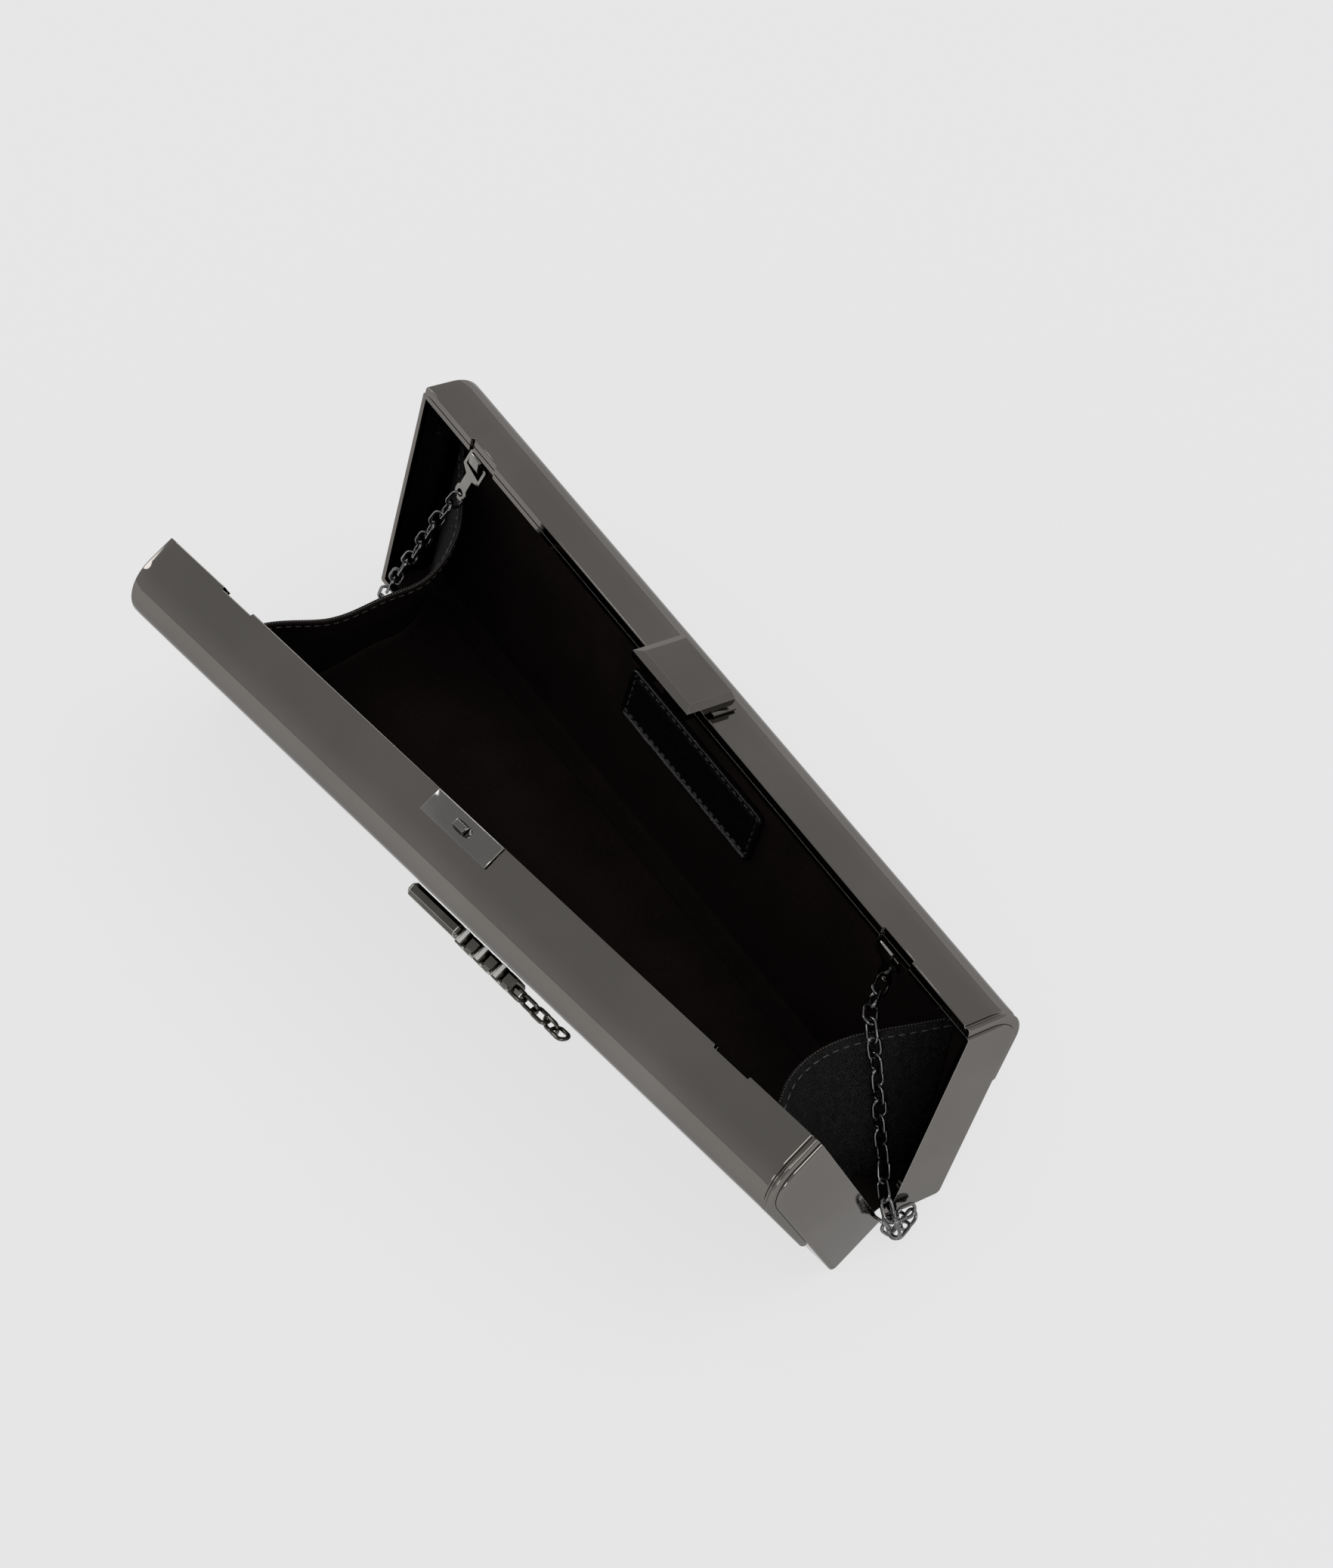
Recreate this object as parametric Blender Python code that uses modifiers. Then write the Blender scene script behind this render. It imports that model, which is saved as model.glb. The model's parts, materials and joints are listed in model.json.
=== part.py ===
"""Hard-shell evening clutch: two metal trays on a leather gusset, standing open, with a chain strap.

Each half is modelled in the closed clutch's own frame: X along the length, the mating plane at y = 0,
the trays' bottoms at z = 0. The halves then turn apart about the leather hinge and stand on the floor.
All lengths are in metres.
"""

import math

import bmesh
import bpy
from mathutils import Matrix, Vector

# Shells
TRAY_LENGTH = 0.2012
TRAY_HEIGHT = 0.0574
TRAY_DEPTH = 0.0145
TRAY_WALL = 0.0012
TRAY_TOP_RADIUS = 0.0075
TRAY_BOTTOM_RADIUS = 0.0015
COVER_END_INSET = 0.0006
COVER_THICKNESS = 0.0018
FRONT_COVER_BOTTOM = 0.0225
BACK_COVER_BOTTOM = 0.0365
COVER_HEM_RADIUS = 0.0012
END_GROOVE_INSET = 0.0013
END_GROOVE_WIDTH = 0.0006
END_GROOVE_DEPTH = 0.0004
GAP = 0.0003
OVERRUN = 0.002

# Lining, stuck to the inside of each tray
LINING_THICKNESS = 0.0008
LINING_MOUTH_INSET = 0.0012

# Leather hinge: the line that the halves turn about lies in the mating plane and drops to the left
HINGE_Z = -0.0022
HINGE_SLOPE_DEG = 13.97
OPEN_DEG = 36.24

# Notches in the mouth, two a half, where the strap comes out of the closed clutch
NOTCH_END_INSET = 0.0194
NOTCH_WIDTH = 0.0097
NOTCH_DEPTH = 0.0008
NOTCH_DROP = 0.0048

# Latch on the back half
LATCH_LENGTH = 0.0200
LATCH_FRONT_Y = -0.0056
LATCH_BACK_Y = 0.0068
LATCH_RISE = 0.0012
LATCH_THICKNESS = 0.0026
LATCH_BEVEL_RUN = 0.0017
LATCH_BEVEL_DROP = 0.0008
LATCH_BACK_RADIUS = 0.0004
LATCH_BARREL_RADIUS = 0.00105
LATCH_PIN_Y = 0.0056
LATCH_PIN_RADIUS = 0.0004
LATCH_PIN_LENGTH = 0.0150
LATCH_PIN_PLAY = 0.00025
LATCH_SLOT_ROOF = 0.0004
LATCH_BASE_LENGTH = 0.0216
LATCH_BASE_FRONT_Y = 0.0014
LATCH_BASE_BACK_Y = 0.0072
LATCH_BASE_THICKNESS = 0.0005
LATCH_EAR_X = 0.0060
LATCH_EAR_THICKNESS = 0.0010
LATCH_EAR_RADIUS = 0.00095
LATCH_EAR_HOLE_PLAY = 0.00015
LATCH_RIVET_X = 0.0036
LATCH_RIVET_Y = 0.0030
LATCH_RIVET_RADIUS = 0.0006
LATCH_RIVET_SINK = 0.0010
SPRING_WIRE = 0.0003
SPRING_RADIUS = 0.00072
SPRING_TURNS = 4
SPRING_TURN_STEPS = 10
SPRING_PITCH = 0.0009
SPRING_LEG = 0.0005
CHANNEL_LENGTH = 0.0038
CHANNEL_HEIGHT = 0.0013

# Catch on the front half
CATCH_LENGTH = 0.0200
CATCH_FRONT_Y = 0.0060
CATCH_THICKNESS = 0.0004
CATCH_STUD_Y = 0.0031
CATCH_STUD_LENGTH = 0.0030
CATCH_STUD_WIDTH = 0.0022
CATCH_STUD_TAPER = 0.0004
CATCH_STUD_HEIGHT = 0.0011
CATCH_SHANK_RADIUS = 0.0006
CATCH_SHANK_SINK = 0.0010

# Strap fittings on the back half: a folded lug under the top at each notch, and a flat clasp in its loop
STRAP_X_SHIFT = -0.0024
LUG_WIDTH = 0.0038
LUG_STRIP = 0.0005
LUG_LOOP_HEIGHT = 0.0022
LUG_LOOP_DEPTH = 0.0020
LUG_LOOP_Y = 0.0019
LUG_REACH = 0.0070
CLASP_WIDTH = 0.0070
CLASP_HEIGHT = 0.0048
CLASP_BAR = 0.0008
CLASP_THICKNESS = 0.0009
CLASP_CORNER = 0.0005
CLASP_NECK = 0.0026
CLASP_SHOULDER = 0.0008
CLASP_EYE_DROP_SHARE = 0.195
CLASP_EYE_RADIUS = 0.0019
CLASP_EYE_HOLE = 0.0010
NEARLY_ROUND_SHARE = 0.999
CLASP_LEFT_TILT_DEG = 13.6
CLASP_LEFT_SWING_DEG = -4.0
CLASP_RIGHT_TILT_DEG = 5.0
CLASP_RIGHT_SWING_DEG = 18.0

# Leather gusset between the halves
LEATHER = 0.0010
GUSSET_END_INSET = 0.0046
GUSSET_BOTTOM_INSET = 0.0095
GUSSET_LEFT_INWARD = 0.0245
GUSSET_RIGHT_INWARD = 0.0184
GUSSET_BOTTOM_FLANGE = 0.0060
MOUTH_SHARE = 0.2
GUSSET_COLUMN_SHARES = (0.0, 0.2, 0.35, 0.5, 0.65, 0.8, 1.0)
LEFT_INWARD_SHARES = (0.57, 0.80, 0.92, 0.93, 0.98, 1.00, 0.22)
LEFT_TOP_SHARES = (0.74, 0.72, 0.60, 0.52, 0.54, 0.86, 0.84)
RIGHT_INWARD_SHARES = (0.60, 0.80, 0.97, 1.00, 0.93, 0.75, 0.40)
RIGHT_TOP_SHARES = (0.68, 0.68, 0.68, 0.68, 0.67, 0.67, 0.76)
LEFT_FOOT_SHARE = 0.25
RIGHT_FOOT_SHARE = 0.30
GUSSET_ARCH_SHARE = 0.12
GUSSET_COLUMNS = 24
GUSSET_ROWS = 7
GUSSET_BAYS = 12

# Label patch on the back lining
LABEL_LENGTH = 0.0490
LABEL_HEIGHT = 0.0140
LABEL_THICKNESS = 0.0010
LABEL_TOP = 0.0385
LABEL_CORNER = 0.0020

# Ornament on the front cover: a bar, three blocks and a short swag of chain
ORNAMENT_Z = 0.0340
ORNAMENT_HEIGHT = 0.0070
ORNAMENT_START = -0.0115
ORNAMENT_BAR_LENGTH = 0.0160
ORNAMENT_BAR_DEPTH = 0.0020
ORNAMENT_BLOCKS = 3
ORNAMENT_BLOCK_LENGTH = 0.0052
ORNAMENT_BLOCK_DEPTH = 0.0024
ORNAMENT_SPACING = 0.0005
ORNAMENT_FACET = 0.0010
ORNAMENT_SWAG_LENGTH = 0.0160
ORNAMENT_SWAG_SAG = 0.0020
ORNAMENT_CHAIN_WIDTH = 0.0024

# Chain strap, as plain rods along its route. The hidden length lies to and fro under the clutch
CHAIN_WIDTH = 0.0032
CHAIN_STEP = 0.0040
FLOOR_CLEARANCE = 0.0001
HANK_CHAIN_WIDTH = 0.0028
HANK_LEFT_INSET = 0.0186
HANK_ROWS = 5
HANK_TURN_STEPS = 6

# Routes of the free runs. Where the chain hangs: in from the tray's end, out from the mating plane, and
# share of the tray's height. Under the clutch: in from the tray's end, and share of the room to the side
LEFT_HANGING = (
    (0.0156, -0.0010, 0.5575), (0.0128, -0.0018, 0.3833), (0.0101, -0.0025, 0.2439),
    (0.0079, -0.0028, 0.1216), (0.0066, -0.0028, 0.0500), (0.0059, -0.0029, -0.0087),
)
LEFT_UNDER_SHARES = ((0.0074, 0.75), (0.0106, 0.78), (0.0140, 0.92))
RIGHT_OVER_GUSSET = (
    (0.0231, 0.0145, 0.6969), (0.0182, 0.0103, 0.7143), (0.0153, 0.0092, 0.6010), (0.0120, 0.0076, 0.4355),
    (0.0092, 0.0062, 0.2613), (0.0062, 0.0048, 0.1568), (0.0026, 0.0016, 0.1359), (-0.0004, 0.0000, 0.1185),
    (-0.0034, -0.0010, 0.0523), (-0.0058, -0.0012, 0.0080),
)
RIGHT_UNDER_SHARES = ((-0.0034, -0.45), (0.0026, -0.65), (0.0156, -0.80), (0.0306, -0.90))

ARC_STEPS = 7
ROUND_SIDES = 16
SMOOTH_ANGLE_DEG = 40

FRONT, BACK = -1, 1
LEFT, RIGHT = -1, 1
HALF_ANGLE = math.radians(OPEN_DEG) / 2
TRAY_END = TRAY_LENGTH / 2
COVER_LENGTH = TRAY_LENGTH - 2 * COVER_END_INSET
HINGE_AXIS = Vector((math.cos(math.radians(HINGE_SLOPE_DEG)), 0, math.sin(math.radians(HINGE_SLOPE_DEG))))
HINGE_POINT = Vector((COVER_LENGTH / 2, 0, HINGE_Z))
COVER_TOP = TRAY_HEIGHT + GAP + COVER_THICKNESS
COVER_FACE = TRAY_DEPTH + GAP + COVER_THICKNESS
COVER_RADIUS = TRAY_TOP_RADIUS + GAP + COVER_THICKNESS
LINING_WALL_Y = TRAY_DEPTH - TRAY_WALL - GAP - LINING_THICKNESS
LINING_FLOOR_Z = TRAY_WALL + GAP + LINING_THICKNESS
NOTCH_X = TRAY_END - NOTCH_END_INSET - NOTCH_WIDTH / 2
CLASP_EYE_DROP = CLASP_EYE_DROP_SHARE * TRAY_HEIGHT

# Which way a flat outline faces: its u, v and thickness along the closed frame's axes
ALONG_X = Matrix(((0, 0, 1, 0), (1, 0, 0, 0), (0, 1, 0, 0), (0, 0, 0, 1)))
UPRIGHT = Matrix(((1, 0, 0, 0), (0, 0, -1, 0), (0, 1, 0, 0), (0, 0, 0, 1)))
FLAT = Matrix.Identity(4)

for old in list(bpy.data.objects):
    bpy.data.objects.remove(old, do_unlink=True)

clutch = bpy.data.collections.new("clutch")
cutters = bpy.data.collections.new("cutters")
bpy.context.scene.collection.children.link(clutch)
bpy.context.scene.collection.children.link(cutters)


def make_material(name, colour, roughness, metallic):
    material = bpy.data.materials.new(name)
    material.use_nodes = True
    shader = material.node_tree.nodes["Principled BSDF"]
    shader.inputs["Base Color"].default_value = (*colour, 1.0)
    shader.inputs["Roughness"].default_value = roughness
    shader.inputs["Metallic"].default_value = metallic
    return material


def gunmetal(name):
    return make_material(name + "_gunmetal", (0.11, 0.10, 0.095), 0.22, 0.9)


def chain_metal(name):
    return make_material(name + "_dark_nickel", (0.06, 0.06, 0.065), 0.15, 1.0)


def black_leather(name):
    return make_material(name + "_leather", (0.010, 0.009, 0.010), 0.55, 0.0)


def black_fabric(name):
    return make_material(name + "_fabric", (0.004, 0.003, 0.003), 0.9, 0.0)


# Placing: everything hangs on empties that stand where the joints are

def about_hinge(angle):
    turn = Matrix.Rotation(angle, 4, HINGE_AXIS)
    return Matrix.Translation(HINGE_POINT) @ turn @ Matrix.Translation(-HINGE_POINT)


def half_turn(side):
    """From the closed frame to the mirror-symmetric open one, for the front or the back half."""
    return about_hinge(-side * HALF_ANGLE)


def standing_pose():
    """Level the outer bottom edges of the leaning trays, and drop them to the floor."""
    edge_y = TRAY_DEPTH - TRAY_BOTTOM_RADIUS
    left = half_turn(BACK) @ Vector((-TRAY_END, edge_y, TRAY_BOTTOM_RADIUS))
    right = half_turn(BACK) @ Vector((TRAY_END, edge_y, TRAY_BOTTOM_RADIUS))
    level = Matrix.Rotation(math.atan2(right.z - left.z, right.x - left.x), 4, "Y")
    lift = TRAY_BOTTOM_RADIUS - (level @ left).z
    return Matrix.Translation((0, 0, lift)) @ level


STAND = standing_pose()


def make_pivot(name, point, pose=None, parent=None):
    """An empty at a point of the closed frame. Its children keep that frame's directions."""
    pivot = bpy.data.objects.new(name, None)
    clutch.objects.link(pivot)
    pivot["point"] = tuple(point)
    if parent:
        pivot.parent = parent
        pivot.location = Vector(point) - Vector(parent["point"])
    else:
        pivot.matrix_world = pose @ Matrix.Translation(point)
    return pivot


def carry(obj, pivot):
    """Hang an object that was modelled in the closed frame, and its cutters, on a pivot."""
    for piece in (obj, *(modifier.object for modifier in obj.modifiers if modifier.type == "BOOLEAN")):
        piece.parent = pivot
        piece.location = -Vector(pivot["point"])
    return obj


front_half = make_pivot("front_half_pivot", HINGE_POINT, pose=STAND @ half_turn(FRONT))
back_half = make_pivot("back_half_pivot", HINGE_POINT, pose=STAND @ half_turn(BACK))
open_frame = make_pivot("open_frame", (0, 0, 0), pose=STAND)
floor_frame = make_pivot("floor_frame", (0, 0, 0), pose=Matrix.Identity(4))


# Shapes

def rounded_outline(corners):
    """Points round a polygon whose corners are (u, v, radius)."""
    outline = []
    for index, (u, v, radius) in enumerate(corners):
        here = Vector((u, v))
        if radius == 0:
            outline.append(here)
            continue
        before = (Vector(corners[index - 1][:2]) - here).normalized()
        after = (Vector(corners[(index + 1) % len(corners)][:2]) - here).normalized()
        half_corner = before.angle(after) / 2
        centre = here + (before + after).normalized() * radius / math.sin(half_corner)
        start = here + before * radius / math.tan(half_corner) - centre
        end = here + after * radius / math.tan(half_corner) - centre
        swing = start.angle_signed(end)
        for step in range(ARC_STEPS + 1):
            outline.append(centre + Matrix.Rotation(-swing * step / ARC_STEPS, 2) @ start)
    return outline


def rectangle(low_u, high_u, low_v, high_v, radius=0):
    return rounded_outline([
        (low_u, low_v, radius), (high_u, low_v, radius), (high_u, high_v, radius), (low_u, high_v, radius)
    ])


def link_mesh(name, mesh, material):
    obj = bpy.data.objects.new(name, mesh)
    clutch.objects.link(obj)
    if material:
        mesh.materials.append(material)
    return obj


def mesh_from_curve(curve_object):
    """The evaluated curve as a mesh with its caps joined on. The curve is removed."""
    bpy.context.view_layer.update()
    evaluated = curve_object.evaluated_get(bpy.context.evaluated_depsgraph_get())
    mesh = bpy.data.meshes.new_from_object(evaluated)
    mesh.transform(curve_object.matrix_world)
    mesh.materials.clear()
    curve = curve_object.data
    bpy.data.objects.remove(curve_object)
    bpy.data.curves.remove(curve)
    edit = bmesh.new()
    edit.from_mesh(mesh)
    bmesh.ops.remove_doubles(edit, verts=edit.verts, dist=GAP / 100)
    bmesh.ops.recalc_face_normals(edit, faces=edit.faces)
    edit.to_mesh(mesh)
    edit.free()
    return mesh


def make_slab(name, outline, thickness, turn, centre, material=None, holes=()):
    """A flat outline, less its holes, given a thickness about its own plane."""
    curve = bpy.data.curves.new(name, "CURVE")
    curve.dimensions = "2D"
    curve.fill_mode = "BOTH"
    curve.extrude = thickness / 2
    for points in (outline, *holes):
        spline = curve.splines.new("POLY")
        spline.points.add(len(points) - 1)
        for target, point in zip(spline.points, points):
            target.co = (point[0], point[1], 0, 1)
        spline.use_cyclic_u = True
    curve_object = bpy.data.objects.new(name, curve)
    clutch.objects.link(curve_object)
    curve_object.matrix_world = Matrix.Translation(centre) @ turn
    return link_mesh(name, mesh_from_curve(curve_object), material)


def make_block(name, size, centre, material=None):
    mesh = bpy.data.meshes.new(name)
    edit = bmesh.new()
    bmesh.ops.create_cube(edit, size=1.0)
    bmesh.ops.scale(edit, vec=size, verts=edit.verts)
    bmesh.ops.translate(edit, vec=centre, verts=edit.verts)
    edit.to_mesh(mesh)
    edit.free()
    return link_mesh(name, mesh, material)


def make_rod(name, radius, start, end, material=None):
    """A round rod from one point to another."""
    start, end = Vector(start), Vector(end)
    mesh = bpy.data.meshes.new(name)
    edit = bmesh.new()
    bmesh.ops.create_cone(
        edit, cap_ends=True, segments=ROUND_SIDES, radius1=radius, radius2=radius, depth=(end - start).length
    )
    turn = Vector((0, 0, 1)).rotation_difference(end - start).to_matrix().to_4x4()
    bmesh.ops.transform(edit, matrix=Matrix.Translation((start + end) / 2) @ turn, verts=edit.verts)
    edit.to_mesh(mesh)
    edit.free()
    obj = link_mesh(name, mesh, material)
    mesh.shade_smooth()
    mesh.set_sharp_from_angle(angle=math.radians(SMOOTH_ANGLE_DEG))
    return obj


def make_tube(name, points, diameter, material, resolution=2):
    curve = bpy.data.curves.new(name, "CURVE")
    curve.dimensions = "3D"
    curve.bevel_depth = diameter / 2
    curve.bevel_resolution = resolution
    curve.use_fill_caps = True
    spline = curve.splines.new("POLY")
    spline.points.add(len(points) - 1)
    for target, point in zip(spline.points, points):
        target.co = (*point, 1)
    tube = bpy.data.objects.new(name, curve)
    clutch.objects.link(tube)
    curve.materials.append(material)
    return tube


def combine(target, tool, operation="DIFFERENCE"):
    """Cut a tool out of a target, or join it on, and keep the tool as a hidden cutter."""
    modifier = target.modifiers.new(tool.name, "BOOLEAN")
    modifier.operation = operation
    modifier.solver = "EXACT"
    modifier.object = tool
    clutch.objects.unlink(tool)
    cutters.objects.link(tool)
    tool.hide_render = True
    tool.display_type = "WIRE"


def smooth_path(points, step):
    """Points about a step apart along a smooth curve through the given ones."""
    points = [Vector(point) for point in points]
    padded = [points[0] * 2 - points[1], *points, points[-1] * 2 - points[-2]]
    path = []
    for index in range(1, len(padded) - 2):
        before, start, end, after = padded[index - 1:index + 3]
        count = max(1, round((end - start).length / step))
        for inner in range(count):
            t = inner / count
            bend = 2 * before - 5 * start + 4 * end - after
            twist = 3 * start - before - 3 * end + after
            path.append((2 * start + (end - before) * t + bend * t * t + twist * t * t * t) / 2)
    path.append(points[-1])
    return path


# Trays, covers and linings

def half_section(side, depth, low, high, top_radius, bottom_radius, mouth):
    """Section across a half, open towards the mating plane. u is depth and v is height."""
    return rounded_outline([
        (side * mouth, low, 0),
        (side * depth, low, bottom_radius),
        (side * depth, high, top_radius),
        (side * mouth, high, 0),
    ])


def make_tray(name, side):
    outer = half_section(side, TRAY_DEPTH, 0, TRAY_HEIGHT, TRAY_TOP_RADIUS, TRAY_BOTTOM_RADIUS, GAP / 2)
    tray = make_slab(name, outer, TRAY_LENGTH, ALONG_X, (0, 0, 0), gunmetal(name))
    inner = half_section(
        side, TRAY_DEPTH - TRAY_WALL, TRAY_WALL, TRAY_HEIGHT - TRAY_WALL,
        TRAY_TOP_RADIUS - TRAY_WALL, TRAY_BOTTOM_RADIUS / 2, -OVERRUN,
    )
    combine(tray, make_slab(name + "_hollow", inner, TRAY_LENGTH - 2 * TRAY_WALL, ALONG_X, (0, 0, 0)))
    return tray


def make_cover(name, side, bottom):
    inner_face = TRAY_DEPTH + GAP
    inner_top = TRAY_HEIGHT + GAP
    section = rounded_outline([
        (side * GAP / 2, inner_top, 0),
        (side * inner_face, inner_top, TRAY_TOP_RADIUS + GAP),
        (side * inner_face, bottom, 0),
        (side * COVER_FACE, bottom, COVER_HEM_RADIUS),
        (side * COVER_FACE, COVER_TOP, COVER_RADIUS),
        (side * GAP / 2, COVER_TOP, 0),
    ])
    return make_slab(name, section, COVER_LENGTH, ALONG_X, (0, 0, 0), gunmetal(name))


def cut_end_grooves(cover, side):
    """A fine groove near each end of the cover leaves a raised bead outside it."""
    face = COVER_FACE - END_GROOVE_DEPTH
    roof = COVER_TOP - END_GROOVE_DEPTH
    section = rounded_outline([
        (-side * OVERRUN, roof, 0),
        (side * face, roof, COVER_RADIUS - END_GROOVE_DEPTH),
        (side * face, 0, 0),
        (side * (COVER_FACE + OVERRUN), 0, 0),
        (side * (COVER_FACE + OVERRUN), COVER_TOP + OVERRUN, COVER_RADIUS + OVERRUN),
        (-side * OVERRUN, COVER_TOP + OVERRUN, 0),
    ])
    for end in (LEFT, RIGHT):
        x = end * (COVER_LENGTH / 2 - END_GROOVE_INSET - END_GROOVE_WIDTH / 2)
        combine(cover, make_slab(f"{cover.name}_groove_{end}", section, END_GROOVE_WIDTH, ALONG_X, (x, 0, 0)))


def cut_mouth_notches(shell):
    for end in (LEFT, RIGHT):
        size = (NOTCH_WIDTH, 2 * (NOTCH_DEPTH + GAP / 2), 2 * NOTCH_DROP)
        combine(shell, make_block(f"{shell.name}_notch_{end}", size, (end * NOTCH_X, 0, COVER_TOP)))


def make_lining(name, side):
    depth = LINING_WALL_Y + LINING_THICKNESS
    low = TRAY_WALL + GAP
    high = TRAY_HEIGHT - TRAY_WALL - GAP
    radius = TRAY_TOP_RADIUS - TRAY_WALL - GAP
    length = TRAY_LENGTH - 2 * (TRAY_WALL + GAP)
    outer = half_section(side, depth, low, high, radius, TRAY_BOTTOM_RADIUS / 2, LINING_MOUTH_INSET)
    lining = make_slab(name, outer, length, ALONG_X, (0, 0, 0), black_fabric(name))
    inner = half_section(
        side, LINING_WALL_Y, low + LINING_THICKNESS, high - LINING_THICKNESS,
        radius - LINING_THICKNESS, TRAY_BOTTOM_RADIUS / 2, -OVERRUN,
    )
    combine(lining, make_slab(name + "_hollow", inner, length - 2 * LINING_THICKNESS, ALONG_X, (0, 0, 0)))
    return lining


shells = {}
for half_name, side, pivot, cover_bottom in (
    ("front", FRONT, front_half, FRONT_COVER_BOTTOM),
    ("back", BACK, back_half, BACK_COVER_BOTTOM),
):
    tray = make_tray(half_name + "_tray", side)
    cover = make_cover(half_name + "_cover", side, cover_bottom)
    lining = make_lining(half_name + "_lining", side)
    cut_end_grooves(cover, side)
    cut_mouth_notches(tray)
    cut_mouth_notches(cover)
    for shell in (tray, cover, lining):
        shells[shell.name] = carry(shell, pivot)


# Label patch

def make_label():
    outline = rectangle(
        -LABEL_LENGTH / 2, LABEL_LENGTH / 2, LABEL_TOP - LABEL_HEIGHT, LABEL_TOP, LABEL_CORNER
    )
    centre = (0, LINING_WALL_Y - GAP - LABEL_THICKNESS / 2, 0)
    label = make_slab("label_patch", outline, LABEL_THICKNESS, UPRIGHT, centre, black_leather("label"))
    carry(label, back_half)


make_label()


# Latch: a sprung tab on a pin between the ears of a riveted base

LATCH_UNDERSIDE = COVER_TOP + LATCH_RISE
LATCH_TOP = LATCH_UNDERSIDE + LATCH_THICKNESS
LATCH_PIN_Z = LATCH_UNDERSIDE + LATCH_BARREL_RADIUS
LATCH_BASE_TOP = COVER_TOP + GAP + LATCH_BASE_THICKNESS
SLOT_HALF_DEPTH = LATCH_TOP - LATCH_SLOT_ROOF - LATCH_PIN_Z
latch_pivot = make_pivot("latch_pivot", (0, LATCH_PIN_Y, LATCH_PIN_Z), parent=back_half)


def make_latch_tab():
    section = rounded_outline([
        (LATCH_FRONT_Y, LATCH_UNDERSIDE, 0),
        (LATCH_BACK_Y, LATCH_UNDERSIDE, LATCH_BARREL_RADIUS),
        (LATCH_BACK_Y, LATCH_TOP, LATCH_BACK_RADIUS),
        (LATCH_FRONT_Y + LATCH_BEVEL_RUN, LATCH_TOP, 0),
        (LATCH_FRONT_Y, LATCH_TOP - LATCH_BEVEL_DROP, 0),
    ])
    tab = make_slab("latch_tab", section, LATCH_LENGTH, ALONG_X, (0, 0, 0), gunmetal("latch_tab"))
    slope = LATCH_BEVEL_DROP / LATCH_BEVEL_RUN
    tab_width = LATCH_BACK_Y - LATCH_FRONT_Y
    middle_y = (LATCH_BACK_Y + LATCH_FRONT_Y) / 2
    for end in (LEFT, RIGHT):
        inner_x = LATCH_LENGTH / 2 - LATCH_BEVEL_RUN - OVERRUN
        outer_x = LATCH_LENGTH / 2 + OVERRUN
        wedge = [
            (end * inner_x, LATCH_TOP + OVERRUN * slope),
            (end * outer_x, LATCH_TOP - LATCH_BEVEL_DROP - OVERRUN * slope),
            (end * outer_x, LATCH_TOP + OVERRUN * slope),
        ]
        combine(tab, make_slab(f"latch_bevel_{end}", wedge, tab_width + OVERRUN, UPRIGHT, (0, middle_y, 0)))
    slots = {
        "ear_left": (-LATCH_EAR_X, LATCH_EAR_THICKNESS + 2 * GAP),
        "spring": (0, (SPRING_TURNS + 1) * SPRING_PITCH + 2 * GAP),
        "ear_right": (LATCH_EAR_X, LATCH_EAR_THICKNESS + 2 * GAP),
    }
    front = LATCH_PIN_Y - LATCH_EAR_RADIUS - GAP
    back = LATCH_BACK_Y + OVERRUN
    low = LATCH_UNDERSIDE - OVERRUN
    high = LATCH_PIN_Z + SLOT_HALF_DEPTH
    for slot_name, (x, width) in slots.items():
        size = (width, back - front, high - low)
        combine(tab, make_block(f"latch_slot_{slot_name}", size, (x, (front + back) / 2, (low + high) / 2)))
    bore_end = LATCH_PIN_LENGTH / 2 + GAP
    combine(tab, make_rod(
        "latch_bore", LATCH_PIN_RADIUS + LATCH_PIN_PLAY,
        (-bore_end, LATCH_PIN_Y, LATCH_PIN_Z), (bore_end, LATCH_PIN_Y, LATCH_PIN_Z),
    ))
    channel_back = -CATCH_STUD_Y + CATCH_STUD_WIDTH / 2 + 2 * GAP
    channel_front = LATCH_FRONT_Y - OVERRUN
    size = (CHANNEL_LENGTH, channel_back - channel_front, 2 * CHANNEL_HEIGHT)
    combine(tab, make_block("latch_channel", size, (0, (channel_back + channel_front) / 2, LATCH_UNDERSIDE)))
    carry(tab, latch_pivot)


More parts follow.
